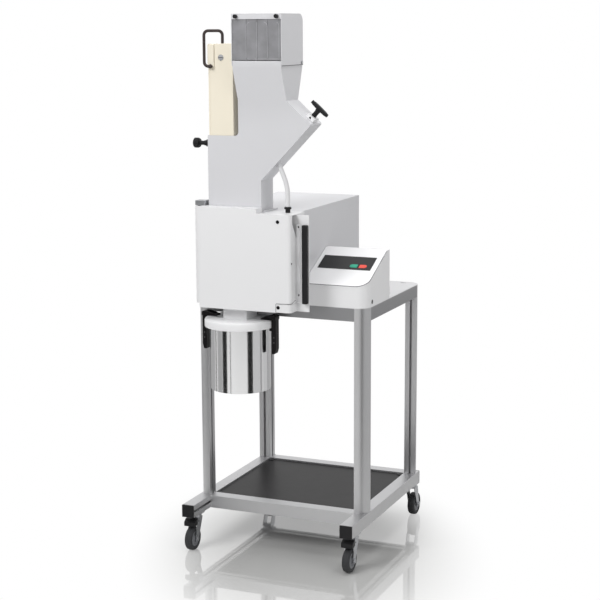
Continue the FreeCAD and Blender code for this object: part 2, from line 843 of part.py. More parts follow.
def build_rotor():
    """Cutting rotor with its knives, on the shaft that the motor drives."""
    front = mill_front + rotor_gap
    rear = front + rotor_length
    centre = V(rotor_x, 0, rotor_z)
    start = centre + Y * front
    rotor = rod(start, Y, rotor_length, rotor_hub_diameter)
    tip = math.sqrt(knife_tip_radius ** 2 - knife_thickness ** 2)
    lobes = []
    seats = []
    knives = []
    for index in range(knife_count):
        turn = math.radians(90 + 360 / knife_count * index)
        radial = X * math.cos(turn) + Z * math.sin(turn)
        tangent = Z * math.cos(turn) - X * math.sin(turn)
        plane = (centre, radial, tangent, Y)
        lobe = [(lobe_root_radius, -lobe_back), (lobe_radius, -lobe_shoulder), (lobe_radius, 0),
                (lobe_root_radius, 0)]
        lobes.append(prism(plane, lobe, front, rear))
        seat = [(knife_seat_radius, 0), (knife_tip_radius, 0), (knife_tip_radius, knife_thickness),
                (knife_seat_radius, knife_thickness)]
        seats.append(prism(plane, seat, front, rear))
        knife = [(knife_seat_radius, 0), (tip - knife_bevel, 0), (tip, knife_thickness),
                 (knife_seat_radius, knife_thickness)]
        knives.append(prism(plane, knife, front, rear))
    rotor = rotor.fuse(lobes).cut(seats + [rod(start, Y, rotor_length, shaft_diameter)])
    export("cutting_rotor", [rotor.removeSplitter()])
    export("rotor_knives", knives)

    motor_front = block_rear + bearing_boss_length
    shaft_end = motor_front + motor_bore_depth - shaft_clearance
    shaft = rod(start, Y, shaft_end - front, shaft_diameter)
    nut_start = start - Y * rotor_nut_height
    stub = rod(nut_start, Y, rotor_nut_height, shaft_stub_diameter)
    export("rotor_shaft", [shaft.fuse(stub).removeSplitter()])
    corner_radius = rotor_nut_size / math.sqrt(3)
    hexagon = [polar(corner_radius, 60 * index) for index in range(6)]
    nut = prism(XZ, hexagon, front - rotor_nut_height, front)
    export("rotor_nut", [nut.cut(stub)])


def build_motor():
    """Drive motor behind the bearings and the sheet cover over it."""
    front = block_rear + bearing_boss_length
    start = V(rotor_x, front, rotor_z)
    motor = rod(start, Y, motor_flange, motor_flange_diameter)
    body = rod(start, Y, motor_flange + motor_length, motor_diameter)
    middle = front + motor_flange + motor_length / 2
    foot = box(rotor_x - motor_foot_width / 2, rotor_x + motor_foot_width / 2,
               middle - motor_foot_length / 2, middle + motor_foot_length / 2, table_height, rotor_z)
    terminals = box(rotor_x, rotor_x + motor_diameter / 2 + terminal_box_height,
                    middle - terminal_box_length / 2, middle + terminal_box_length / 2,
                    rotor_z - terminal_box_width / 2, rotor_z + terminal_box_width / 2)
    bore = rod(start, Y, motor_bore_depth, shaft_diameter + running_fit * 2)
    motor = motor.fuse([body, foot, terminals]).cut(bore)
    export("drive_motor", [motor.removeSplitter()])

    left = mill_left + cover_left_step
    right = mill_right - cover_right_step
    rear = frame_rear + cover_length
    cover = box(left, right, frame_rear, rear, table_height, mill_top)
    inside = box(left + cover_sheet, right - cover_sheet, frame_rear - overrun, rear - cover_sheet,
                 table_height - overrun, mill_top - cover_sheet)
    chamber_gap = box(block_left, block_right + face_gap, frame_rear - overrun, block_rear + face_gap,
                      mill_top - cover_sheet, mill_top + overrun)
    centre_x = (left + right) / 2
    vents = []
    for index in range(vent_count):
        low = table_height + vent_lift + vent_pitch * index
        vents.append(box(centre_x - vent_width / 2, centre_x + vent_width / 2,
                         rear - cover_sheet - overrun, rear + overrun, low, low + vent_height))
    export("motor_cover", [cover.cut([inside, chamber_gap] + vents)])


door_rear = mill_front - face_gap
door_front = door_rear - door_depth
door_bottom = table_height - door_drop
hinge_x = mill_left - hinge_offset
barrel_bottom = door_bottom + hinge_strip_lift
barrel_top = mill_top + raised_height
screw_x = mill_right - screw_inset
upper_screw_z = mill_top - upper_screw_drop
lower_screw_z = door_bottom + lower_screw_lift
lower_arm_bottom = door_bottom + lower_arm_lift
lower_arm_top = lower_arm_bottom + lower_arm_height
upper_arm_top = mill_top - door_sheet
upper_arm_bottom = upper_arm_top - upper_arm_height


def build_door():
    """Door shell with its hinge barrel, back plate, handle, grip and screws."""
    panel_back = door_front + door_sheet
    left = mill_left
    right = mill_right
    raised_right = left + raised_width
    outer = [(left, door_front), (right, door_front, door_corner), (right, door_rear),
             (left, door_rear)]
    sheet = door_sheet
    inner = [(left + sheet, panel_back), (right - sheet, panel_back, door_corner - sheet),
             (right - sheet, door_rear + overrun), (left + sheet, door_rear + overrun)]
    shell = prism(XY, outer, door_bottom, mill_top)
    shell = shell.fuse(box(left, raised_right, door_front, door_rear, mill_top, barrel_top))
    hollow = prism(XY, inner, door_bottom + sheet, mill_top - sheet)
    raised_hollow = box(left + sheet, raised_right - sheet, panel_back, door_rear + overrun,
                        mill_top - sheet, barrel_top - sheet)
    bevel_y = door_front + bevel_front
    bevel = [(bevel_y, mill_top - bevel_top_drop), (door_rear, mill_top - bevel_bottom_drop),
             (door_rear + overrun, mill_top - bevel_bottom_drop), (door_rear + overrun, upper_arm_top),
             (bevel_y, upper_arm_top)]
    bevel_cut = prism(YZ, bevel, right - sheet, right + overrun)
    notch = box(right - lower_arm_front - lower_arm_gap, right + overrun, door_front - overrun,
                door_rear + overrun, door_bottom - overrun, lower_arm_top + lower_arm_gap)
    shell = shell.cut([hollow, raised_hollow, bevel_cut, notch])

    strip_left = left - hinge_strip_width
    strip_front = door_front + hinge_strip_recess
    strip = box(strip_left, left, strip_front, strip_front + sheet, barrel_bottom, barrel_top)
    strip_side = box(strip_left, strip_left + sheet, strip_front, mill_front, barrel_bottom, barrel_top)
    slot_middle = (hinge_x + left) / 2 - hinge_slot_width
    slot_bottom = barrel_bottom + hinge_slot_lift
    slot = box(slot_middle, slot_middle + hinge_slot_width, strip_front - overrun,
               strip_front + overrun, slot_bottom, slot_bottom + hinge_slot_length)
    hinge_foot = V(hinge_x, mill_front, barrel_bottom)
    barrel_length = barrel_top - barrel_bottom
    barrel = rod(hinge_foot, Z, barrel_length, hinge_barrel_diameter)
    bore = rod(hinge_foot, Z, barrel_length, hinge_pin_diameter + running_fit * 2)
    screw_hole = rod(V(screw_x, door_front, upper_screw_z), Y, sheet, screw_diameter)
    shell = shell.fuse([strip, strip_side, barrel]).cut([slot, bore, screw_hole])
    export("door_shell", [shell.removeSplitter()])

    spread = seal_margin + seal_width + back_plate_margin
    plate_front = door_rear - back_plate
    plate = prism(XZ, seal_frame(spread), plate_front, door_rear)
    low = rotor_z - chamber_radius - spread + back_post_inset
    high = mill_top - feed_lip_height + spread - back_post_inset
    posts = []
    for post_x in (feed_left - spread + back_post_inset, feed_right + spread - back_post_inset):
        for post_z in (low, high):
            length = plate_front - panel_back
            posts.append(rod(V(post_x, panel_back, post_z), Y, length, back_post_diameter))
    export("door_back_plate", [plate.fuse(posts).removeSplitter()])
    build_handle(panel_back)
    build_hinge()


def build_handle(panel_back):
    """Bent sheet frame, black grip and the screws that hold the frame to the door."""
    right = mill_right
    plate_front = door_rear - handle_sheet
    bar_left = right + handle_bar_gap
    bar_right = bar_left + handle_bar_width
    bar = box(bar_left, bar_right, plate_front, door_rear, lower_arm_bottom, upper_arm_top)
    arm_left = right - upper_arm_inset
    upper = box(arm_left, bar_right, plate_front, door_rear, upper_arm_bottom, upper_arm_top)
    leg = box(arm_left, arm_left + handle_sheet, panel_back, door_rear, upper_arm_bottom, upper_arm_top)
    flange = box(arm_left, arm_left + arm_flange, panel_back, panel_back + handle_sheet,
                 upper_arm_bottom, upper_arm_top)
    front_end = right - lower_arm_front
    inner_x = right - handle_sheet
    inner_y = door_front + handle_sheet
    bent = [(front_end, door_front), (right, door_front, door_corner), (right, plate_front),
            (bar_right, plate_front), (bar_right, door_rear), (inner_x, door_rear),
            (inner_x, inner_y, door_corner - handle_sheet), (front_end, inner_y)]
    lower = prism(XY, bent, lower_arm_bottom, lower_arm_top)
    tongue_end = screw_x + screw_diameter
    tongue = box(front_end - arm_tongue, tongue_end, panel_back, panel_back + handle_sheet,
                 lower_arm_bottom + arm_tongue_trim, lower_arm_top - arm_tongue_trim)
    frame = bar.fuse([upper, leg, flange, lower, tongue])
    screws = []
    shank_length = panel_back + handle_sheet - door_front
    for screw_z in (upper_screw_z, lower_screw_z):
        at = V(screw_x, door_front, screw_z)
        shank = rod(at, Y, shank_length, screw_diameter)
        frame = frame.cut(shank)
        screws.append(shank.fuse(rod(at - Y * screw_head, Y, screw_head, screw_head_diameter)))
    export("door_handle_frame", [frame.removeSplitter()])
    export("door_screws", screws)
    grip_right = bar_right - grip_from_edge
    grip_left = grip_right - grip_width
    grip_front = plate_front - grip_depth
    outline = [(grip_left, plate_front), (grip_left, grip_front, grip_round),
               (grip_right, grip_front, grip_round), (grip_right, plate_front)]
    export("handle_grip", [prism(XY, outline, lower_arm_top + grip_inset, upper_arm_bottom - grip_inset)])


def build_hinge():
    """Upper and lower hinge brackets on the mill, with the pin between them."""
    axis_at = V(hinge_x, mill_front, 0)
    low = barrel_bottom - face_gap - hinge_block_height
    high = barrel_top + face_gap + hinge_block_height
    foot_right = mill_left + hinge_foot_width
    foot_front = mill_front + hinge_foot_setback
    foot_rear = foot_front + hinge_foot_length
    block_half = hinge_block_width / 2
    top_block = box(hinge_x - block_half, foot_right, mill_front - block_half,
                    mill_front + block_half, barrel_top + face_gap, high)
    top_foot = box(mill_left, foot_right, foot_front, foot_rear, mill_top, high)
    barrel_half = hinge_barrel_diameter / 2
    boss = rod(axis_at + Z * low, Z, hinge_block_height, hinge_barrel_diameter)
    low_block = box(hinge_x - barrel_half, hinge_x + barrel_half, mill_front, foot_rear, low,
                    low + hinge_block_height)
    low_foot = box(hinge_x - barrel_half, mill_left + lower_bracket_reach, foot_front, foot_rear,
                   table_height - hinge_foot_sheet, table_height)
    pin = rod(axis_at + Z * low, Z, high - low, hinge_pin_diameter)
    upper = top_block.fuse(top_foot).cut(pin).removeSplitter()
    lower = boss.fuse([low_block, low_foot]).cut(pin).removeSplitter()
    export("door_hinge", [upper, lower, pin])


hopper_left = feed_left - hopper_sheet
hopper_right = feed_right + hopper_sheet
throat_z = mill_top + throat_height
nose_x = hopper_right + chute_reach
nose_z = throat_z + chute_rise
mouth_right = mouth_left + mouth_width
neck_z = mill_top + neck_height
collar_z = mill_top + collar_height
band_front = hopper_front - flare_front
band_rear = hopper_rear + flare_rear
band_top = neck_z + funnel_height + band_height
hood_left = mouth_left - face_gap - hood_sheet
hood_right = mouth_right + face_gap + hood_sheet
hood_front = band_front - face_gap - hood_sheet
hood_rear = band_rear + face_gap + hood_sheet
hood_bottom = band_top - hood_overlap
hood_top = hood_bottom + hood_height
hood_pin_y = band_rear - hood_pin_inset
hood_pin_z = hood_bottom + hood_overlap / 2
plunger_left = feed_left + plunger_gap
plunger_right = plunger_left + plunger_width
plunger_front = hopper_inner_front + plunger_side_gap
plunger_rear = hopper_inner_rear - plunger_side_gap
plunger_bottom = collar_z - plunger_engage
plunger_top = plunger_bottom + plunger_height
index_z = collar_z - index_drop
gland_x = mill_right - gland_inset
gland_y = mill_front + gland_setback
slope_down = V(nose_x - mouth_right, 0, nose_z - neck_z)
slope_down.normalize()
slope_normal = V(-slope_down.z, 0, slope_down.x)
pusher_at = V(nose_x, hopper_middle, nose_z) - slope_down * pusher_corner_distance
pusher_plane = (pusher_at, slope_down * -1, Y, slope_normal)


def inset(corners, distance):
    """Outline moved inwards by a distance; its corners run anticlockwise."""
    moved = []
    for index, corner in enumerate(corners):
        before = corners[index - 1]
        after = corners[(index + 1) % len(corners)]
        coming = V(corner[0] - before[0], corner[1] - before[1], 0)
        going = V(after[0] - corner[0], after[1] - corner[1], 0)
        coming.normalize()
        going.normalize()
        first = V(-coming.y, coming.x, 0)
        second = V(-going.y, going.x, 0)
        shift = (first + second) * (distance / (1 + first.dot(second)))
        radius = corner[2] if len(corner) > 2 else 0
        outward_bend = coming.x * going.y - coming.y * going.x > 0
        if radius > 0:
            radius = radius - distance if outward_bend else radius + distance
        moved.append((corner[0] + shift.x, corner[1] + shift.y, max(radius, 0)))
    return moved


def conduit_route():
    """Points of the conduit from its gland to the boss under the chute, and its direction."""
    start = V(gland_x, gland_y, mill_top + gland_height)
    corner = start + Z * conduit_rise
    floor_start = V(hopper_right, gland_y, throat_z)
    floor_end = V(nose_x, gland_y, nose_z)
    landing = floor_start + (floor_end - floor_start) * conduit_floor_share
    direction = landing - corner
    direction.normalize()
    return [start, corner, landing - direction * conduit_boss], direction


def build_hopper():
    """Folded hopper: plunger shaft, inclined chute, funnel, band and mounting flange."""
    sheet = hopper_sheet
    body = [(hopper_left, mill_top), (hopper_right, mill_top), (hopper_right, throat_z),
            (nose_x, nose_z, chute_round), (mouth_right, neck_z), (mouth_left, neck_z),
            (mouth_left, collar_z, collar_round), (hopper_left, collar_z)]
    funnel = [(hopper_front, neck_z), (hopper_rear, neck_z), (band_rear, neck_z + funnel_height),
              (band_rear, band_top), (band_front, band_top), (band_front, neck_z + funnel_height)]
    flange = box(hopper_left - flange_left_overlap, hopper_right + flange_right_overlap, hopper_front,
                 hopper_rear + flange_overlap, mill_top, mill_top + flange_sheet)
    points, direction = conduit_route()
    boss = rod(points[-1], direction, conduit_boss + overrun, conduit_boss_diameter)
    outer = prism(XZ, body, hopper_front, hopper_rear)
    outer = outer.fuse([prism(YZ, funnel, mouth_left, mouth_right), flange, boss])

    inner_left = mouth_left + sheet
    inner_right = mouth_right - sheet
    shaft = prism(XZ, inset(body, sheet), hopper_inner_front, hopper_inner_rear)
    funnel_inside = prism(YZ, inset(funnel, sheet), inner_left, inner_right)
    neck = box(inner_left, inner_right, hopper_inner_front, hopper_inner_rear, neck_z - sheet,
               neck_z + sheet)
    mouth = box(inner_left, inner_right, band_front + sheet, band_rear - sheet, band_top - sheet * 2,
                band_top + overrun)
    outlet = box(feed_left, feed_right, hopper_inner_front, hopper_inner_rear, mill_top - overrun,
                 mill_top + sheet)
    collar = box(feed_left, plunger_right + plunger_collar_gap, hopper_inner_front,
                 hopper_inner_rear, collar_z - sheet, collar_z + overrun)
    index_hole = rod(V(hopper_left, hopper_middle, index_z), X, sheet,
                     index_nose_diameter + running_fit * 2)
    pusher_hole = rod(pusher_at + slope_normal * sheet, slope_normal * -1, sheet * 2,
                      pusher_rod_diameter + pusher_hole_gap * 2)
    pin_holes = rod(V(mouth_left, hood_pin_y, hood_pin_z), X, mouth_width, hood_pin_diameter)
    hopper = outer.cut([shaft, funnel_inside, neck, mouth, outlet, collar])
    hopper = hopper.cut([index_hole, pusher_hole, pin_holes])
    export("hopper_body", [hopper.removeSplitter()])

    export("conduit", [bent_rod(points, [conduit_bend(points)], conduit_diameter)])
    gland_foot = V(gland_x, gland_y, mill_top)
    body_height = gland_height - gland_collar
    gland = rod(gland_foot, Z, body_height, gland_diameter)
    gland = gland.fuse(rod(gland_foot + Z * body_height, Z, gland_collar, gland_collar_diameter))
    export("conduit_gland", [gland])


def conduit_bend(points):
    """Largest bend radius that the conduit's two runs leave room for."""
    start, corner, end = points
    first = corner - start
    second = end - corner
    turn = first.getAngle(second)
    return conduit_bend_share * min(first.Length, second.Length) / math.tan(turn / 2)


def build_hood():
    """Tilting hood over the funnel's band, its pin, the curtain and the curtain knobs."""
    sheet = hood_sheet
    outline = [(hood_front, hood_bottom), (hood_rear, hood_bottom), (hood_rear, hood_top, hood_round),
               (hood_front, hood_top)]
    inside = [(hood_front + sheet, hood_bottom - overrun), (hood_rear - sheet, hood_bottom - overrun),
              (hood_rear - sheet, hood_top - sheet, hood_round - sheet),
              (hood_front + sheet, hood_top - sheet)]
    inner_left = hood_left + sheet
    inner_right = hood_right - sheet
    strip_bottom = hood_top - hood_strip
    hood = prism(YZ, outline, hood_left, hood_right)
    hollow = prism(YZ, inside, inner_left, inner_right)
    mouth = box(inner_left, inner_right, hood_front - overrun, hood_front + sheet * 2,
                hood_bottom - overrun, strip_bottom)
    back = box(inner_left, inner_right, hood_rear - sheet * 2, hood_rear + overrun,
               hood_bottom - overrun, hood_bottom + hood_back_lift)
    hinge_bore = rod(V(hood_left, hood_pin_y, hood_pin_z), X, hood_right - hood_left,
                     hood_pin_diameter + running_fit * 2)
    knob_z = hood_top - hood_strip / 2
    knobs = []
    for knob_x in (hood_left + curtain_knob_inset, hood_right - curtain_knob_inset):
        front = V(knob_x, hood_front, knob_z)
        knob = rod(front - Y * curtain_knob_height, Y, curtain_knob_height, curtain_knob_diameter)
        shank = rod(front, Y, sheet, curtain_shank_diameter)
        hood = hood.cut(shank)
        knobs.append(knob.fuse(shank))
    export("hood", [hood.cut([hollow, mouth, back, hinge_bore]).removeSplitter()])
    export("curtain_knobs", knobs)

    pin_left = hood_left - face_gap - hood_pin_head
    pin_length = hood_right - hood_left + (face_gap + hood_pin_head) * 2
    pin_start = V(pin_left, hood_pin_y, hood_pin_z)
    pin = rod(pin_start, X, pin_length, hood_pin_diameter)
    left_head = rod(pin_start, X, hood_pin_head, hood_pin_head_diameter)
    right_head = rod(pin_start + X * (pin_length - hood_pin_head), X, hood_pin_head,
                     hood_pin_head_diameter)
    export("hood_pin", [pin.fuse([left_head, right_head]).removeSplitter()])

    radius = curtain_header_diameter / 2
    header_y = hood_front + sheet + face_gap + radius
    header_z = hood_top - curtain_header_drop
    left = inner_left + curtain_end_gap
    right = inner_right - curtain_end_gap
    low = band_top + curtain_lift
    header = rod(V(left, header_y, header_z), X, right - left, curtain_header_diameter)
    curtain = header.fuse(box(left, right, header_y - curtain_sheet / 2, header_y + curtain_sheet / 2,
                              low, header_z))
    slits = []
    for share in curtain_slit_shares:
        middle = left + (right - left) * share
        slits.append(box(middle - curtain_slit / 2, middle + curtain_slit / 2,
                         header_y - overrun, header_y + overrun, low - overrun,
                         header_z - curtain_header_diameter))
    export("curtain_strips", [curtain.cut(slits).removeSplitter()])


def build_plunger():
    """Plunger box with its tab and two guide strips, the bent handle, and the index knob."""
    box_left = plunger_left + plunger_groove
    body = box(box_left, plunger_right, plunger_front, plunger_rear, plunger_bottom, plunger_top)
    wall = plunger_wall
    hollow = box(box_left + wall, plunger_right - wall, plunger_front + wall, plunger_rear - wall,
                 plunger_bottom + plunger_base, plunger_top - wall)
    half_groove = plunger_groove_width / 2
    margin = plunger_strip_inset
    front_strip = box(plunger_left, box_left, plunger_front + margin, hopper_middle - half_groove,
                      plunger_bottom + margin, plunger_top - margin)
    rear_strip = box(plunger_left, box_left, hopper_middle + half_groove, plunger_rear - margin,
                     plunger_bottom + margin, plunger_top - margin)
    tab_top = plunger_top - plunger_tab_drop
    tab = box(plunger_left, plunger_left + plunger_tab_width, plunger_front - plunger_tab,
              plunger_front, tab_top - plunger_tab_height, tab_top)
    export("plunger_body", [body.fuse(tab).cut(hollow).removeSplitter(), front_strip, rear_strip])

    right_leg = V(plunger_left + handle_right_inset, plunger_front + handle_right_depth, plunger_top)
    left_y = plunger_front - plunger_tab - handle_rod_diameter / 2
    left_leg = V(plunger_left - handle_left_reach, left_y, plunger_top + handle_rise)
    hook = left_leg - Z * (handle_rise + handle_fall)
    points = [right_leg, right_leg + Z * handle_rise, left_leg, hook, hook + X * handle_hook]
    export("plunger_handle", [bent_rod(points, [handle_bend] * 3, handle_rod_diameter)])

    wall_at = V(hopper_left, hopper_middle, index_z)
    reach = index_flange_length + index_sleeve_length
    sleeve = rod(wall_at - X * index_flange_length, X, index_flange_length, index_flange_diameter)
    sleeve = sleeve.fuse(rod(wall_at - X * reach, X, index_sleeve_length, index_sleeve_diameter))
    bore = rod(wall_at - X * reach, X, reach, index_nose_diameter + running_fit * 2)
    export("index_sleeve", [sleeve.cut(bore).removeSplitter()])
    neck_left = reach + face_gap + index_neck
    radius = index_diameter / 2
    disc_left = -neck_left - index_disc
    bevel = index_disc_bevel
    disc = turned(wall_at, Z, X, [(0, disc_left), (radius - bevel, disc_left),
                                  (radius, disc_left + bevel), (radius, -neck_left - bevel),
                                  (radius - bevel, -neck_left), (0, -neck_left)])
    neck = rod(wall_at - X * neck_left, X, index_neck, index_neck_diameter)
    tip = plunger_left + index_nose_reach - hopper_left
    nose = rod(wall_at - X * neck_left, X, neck_left + tip, index_nose_diameter)
    export("index_knob", [disc.fuse([neck, nose]).removeSplitter()])


def build_pusher():
    """Guide on the chute's upper slope and the T-handled pusher that slides in it."""
    half = guide_width / 2
    reach = guide_length / 2
    block = prism(pusher_plane, [(-reach, -half), (reach, -half), (reach, half), (-reach, half)],
                  0, guide_height)
    bore = rod(pusher_at, slope_normal, guide_height, pusher_rod_diameter + running_fit * 2)
    export("pusher_guide", [block.cut(bore)])
    half = pusher_plate_width / 2
    corners = [(-pusher_plate_below, -half), (pusher_plate_above, -half),
               (pusher_plate_above, half), (-pusher_plate_below, half)]
    plate = prism(pusher_plane, corners, -pusher_depth, -pusher_depth + pusher_plate)
    shaft = rod(pusher_at - slope_normal * pusher_depth, slope_normal,
                pusher_depth + grip_bar_height, pusher_rod_diameter)
    stem_start = guide_height + face_gap
    stem = rod(pusher_at + slope_normal * stem_start, slope_normal, grip_bar_height - stem_start,
               grip_stem_diameter)
    bar_start = pusher_at + slope_normal * grip_bar_height - slope_down * (grip_bar_length / 2)
    bar = rod(bar_start, slope_down, grip_bar_length, grip_bar_diameter)
    export("pusher_handle", [plate.fuse([shaft, stem, bar]).removeSplitter()])


def key_outline(start, side, grow):
    """Outline of a key; side is -1 when its round end is on the left, +1 on the right."""
    low = panel_up + key_up - grow
    high = panel_up + key_up + key_height + grow
    outer = key_round + grow
    inner = key_inner_round + grow
    left_round = outer if side < 0 else inner
    right_round = inner if side < 0 else outer
    left = start - grow
    right = start + key_length + grow
    return [(left, low, left_round), (right, low, right_round), (right, high, right_round),
            (left, high, left_round)]


def build_controls():
    """Folded control box with a sloping key panel and its two keys."""
    sheet = control_sheet
    left = mill_right - cover_right_step + control_gap
    right = half_width
    front = leg_front
    rear = front + control_depth
    top = table_height + control_height
    slope_foot = table_height + control_front_height
    slope_top = rear - control_top_depth
    plan = [(left, front), (right, front, profile), (right, rear), (left, rear)]
    side = [(front, table_height), (rear, table_height), (rear, top), (slope_top, top),
            (front, slope_foot)]
    low = table_height - sheet - overrun
    deep_side = [(front, low), (rear, low)] + side[2:]
    outer = prism(XY, plan, table_height, top).common(prism(YZ, side, left, right))
    inner = prism(XY, inset(plan, sheet), low, top)
    inner = inner.common(prism(YZ, inset(deep_side, sheet), left, right))
    up = V(0, slope_top - front, top - slope_foot)
    up.normalize()
    slope = (V(0, front, slope_foot), X, up, X.cross(up))
    panel_right = right - panel_right_inset
    panel_left = panel_right - panel_width
    panel_top = panel_up + panel_height
    panel = prism(slope, [(panel_left, panel_up), (panel_right, panel_up), (panel_right, panel_top),
                          (panel_left, panel_top)], 0, panel_sheet)
    stop_left = panel_right - key_right_inset - key_length
    start_left = stop_left - key_spacing - key_length
    wells = []
    for name, key_left, key_side in (("start_key", start_left, -1), ("stop_key", stop_left, 1)):
        key_bottom = key_proud - key_depth
        export(name, [prism(slope, key_outline(key_left, key_side, 0), key_bottom, key_proud)])
        wells.append(prism(slope, key_outline(key_left, key_side, key_gap), key_bottom, key_proud))
    export("key_panel", [panel.cut(wells)])
    export("control_housing", [outer.cut([inner] + wells).removeSplitter()])


def build_receiver():
    """Lid under the outlet neck, its gasket, and the can that hangs from the clamps."""
    centre = V(rotor_x, lid_y, 0)
    radius = lid_diameter / 2
    lid_bottom = lid_top - lid_height
    skirt = radius - lid_skirt
    lid = turned(centre, X, Z, [(0, lid_under), (skirt, lid_under), (skirt, lid_bottom),
                                (radius, lid_bottom), (radius, lid_top - lid_round),
                                (radius - lid_bevel, lid_top - lid_bevel),
                                (radius - lid_round, lid_top), (0, lid_top)])
    half = outlet_width / 2
    hole = box(rotor_x - half, rotor_x + half, outlet_front, outlet_rear, lid_under, lid_top)
    export("receiver_lid", [lid.cut(hole)])
    gasket_outer = skirt - gasket_inset
    gasket_bottom = lid_under - gasket_sheet
    gasket_inner = gasket_outer - gasket_width
    gasket = turned(centre, X, Z, [(gasket_inner, gasket_bottom), (gasket_outer, gasket_bottom),
                                   (gasket_outer, lid_under), (gasket_inner, lid_under)])
    export("lid_gasket", [gasket])
    rim_top = gasket_bottom - face_gap
    rim_under = rim_top - can_rim_height
    bottom = rim_top - can_height
    outer = can_diameter / 2
    inner = outer - can_wall
    can = turned(centre, X, Z, [(0, bottom), (outer, bottom), (outer, rim_under),
                                (outer + can_rim, rim_under), (outer + can_rim, rim_top),
                                (inner, rim_top), (inner, bottom + can_floor), (0, bottom + can_floor)])
    export("receiver_can", [can])


def build_clamps():
    """Brackets on the lid and the lever that hangs from each of them."""
    inner = lid_diameter / 2 + clamp_lid_gap
    outer = inner + clamp_thickness
    pivot = inner + clamp_thickness / 2
    half = clamp_width / 2
    ear_start = half + face_gap
    top = clamp_top_above_lid
    skirt_drop = lid_height + clamp_nose_gap
    base_end = lid_diameter / 2 - clamp_ear
    base_start = base_end - clamp_base_length
    bottom = -clamp_drop
    brackets = []
    for side, name in ((-1, "left"), (1, "right")):
        at = V(rotor_x, lid_y, lid_top)
        plane = (at, X * side, Z, Y)
        lever = [(inner, top, clamp_round), (inner, -skirt_drop),
                 (inner - clamp_nose, -skirt_drop), (inner - clamp_nose, -skirt_drop - clamp_nose_height),
                 (inner, -skirt_drop - clamp_nose_height), (inner, bottom),
                 (outer - clamp_taper, bottom, clamp_taper), (outer, -clamp_drop * clamp_taper_share),
                 (outer, top, clamp_round)]
        pin_at = at + X * (side * pivot) + Z * clamp_pivot_above_lid - Y * (ear_start + clamp_ear)
        pin_length = (ear_start + clamp_ear) * 2
        bore = rod(pin_at, Y, pin_length, clamp_pin_diameter + running_fit * 2)
        export(f"clamp_lever_{name}", [prism(plane, lever, -half, half).cut(bore)])
        base = [(base_start, 0), (base_end, 0), (base_end, clamp_base_sheet),
                (base_start, clamp_base_sheet)]
        bracket = prism(plane, base, -ear_start - clamp_ear, ear_start + clamp_ear)
        ear = [(base_start, 0), (outer, 0), (outer, top, clamp_round),
               (inner - clamp_ear, top, clamp_round), (base_start, clamp_base_sheet)]
        pin = rod(pin_at, Y, pin_length, clamp_pin_diameter)
        bracket = bracket.fuse([prism(plane, ear, -ear_start - clamp_ear, -ear_start),
                                prism(plane, ear, ear_start, ear_start + clamp_ear), pin])
        brackets.append(bracket.removeSplitter())
    export("clamp_brackets", brackets)


def main():
    """Build every piece and write it to its file."""
    os.makedirs("parts", exist_ok=True)
    build_frame()
    build_shelf()
    build_castors()
    build_chamber()
    build_rotor()
    build_motor()
    build_door()
    build_hopper()
    build_hood()
    build_plunger()
    build_pusher()
    build_controls()
    build_receiver()
    build_clamps()


if __name__ == "__main__":
    main()
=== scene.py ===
"""Looks of a floor-standing cutting mill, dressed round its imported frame.

Lengths in the tables are millimetres in the maker's layout: x = 0 in the middle of the frame,
y = 0 at the front ends of the base rails, z = 0 on the floor.  at() turns them into metres in
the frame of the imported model.
"""
import json
import logging
import math
from collections.abc import Sequence
from dataclasses import dataclass, replace
from enum import Enum

import bmesh
import bpy
import numpy as np
from mathutils import Matrix

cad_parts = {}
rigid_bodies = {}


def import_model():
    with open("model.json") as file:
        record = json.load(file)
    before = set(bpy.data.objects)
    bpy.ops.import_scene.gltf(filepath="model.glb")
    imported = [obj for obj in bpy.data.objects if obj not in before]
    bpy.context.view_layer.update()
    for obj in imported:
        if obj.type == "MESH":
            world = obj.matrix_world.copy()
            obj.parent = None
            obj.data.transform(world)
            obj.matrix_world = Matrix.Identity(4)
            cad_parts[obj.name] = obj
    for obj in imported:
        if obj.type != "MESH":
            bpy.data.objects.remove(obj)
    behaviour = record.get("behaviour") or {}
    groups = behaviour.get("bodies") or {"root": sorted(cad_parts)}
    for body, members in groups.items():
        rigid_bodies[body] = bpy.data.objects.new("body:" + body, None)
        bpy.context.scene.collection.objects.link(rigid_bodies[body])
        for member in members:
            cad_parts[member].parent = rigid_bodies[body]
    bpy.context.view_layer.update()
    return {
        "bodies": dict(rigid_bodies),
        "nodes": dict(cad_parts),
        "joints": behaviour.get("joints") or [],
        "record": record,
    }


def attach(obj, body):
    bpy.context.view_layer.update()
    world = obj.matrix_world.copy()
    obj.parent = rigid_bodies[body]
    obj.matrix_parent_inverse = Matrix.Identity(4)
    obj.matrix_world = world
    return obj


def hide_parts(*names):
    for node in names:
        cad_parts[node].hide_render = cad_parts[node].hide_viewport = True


LOG = logging.getLogger("mill")
LAYOUT_MIDDLE = 323.75
MILLIMETRE = 0.001
AXIS_X = np.array([1.0, 0.0, 0.0])
AXIS_Y = np.array([0.0, 1.0, 0.0])
AXIS_Z = np.array([0.0, 0.0, 1.0])
Array, Tree = np.ndarray, bpy.types.NodeTree
Pair = tuple[float, float]
Triple = tuple[float, float, float]
FLOAT, VECTOR, COLOUR = "NodeSocketFloat", "NodeSocketVector", "NodeSocketColor"
WHITE = (1.0, 1.0, 1.0, 1.0)
SCREW_DARK = (0.015, 0.015, 0.015, 1.0)
SCREW_DEPTH = 0.0006


def at(x: float, y: float, z: float) -> Array:
    """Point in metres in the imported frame, from millimetres in the maker's layout.

    Args:
        x: distance to the right of the middle.
        y: distance behind the front ends of the base rails.
        z: height above the floor.

    Returns:
        The point as an array of three numbers.
    """
    return np.array([x, y - LAYOUT_MIDDLE, z]) * MILLIMETRE


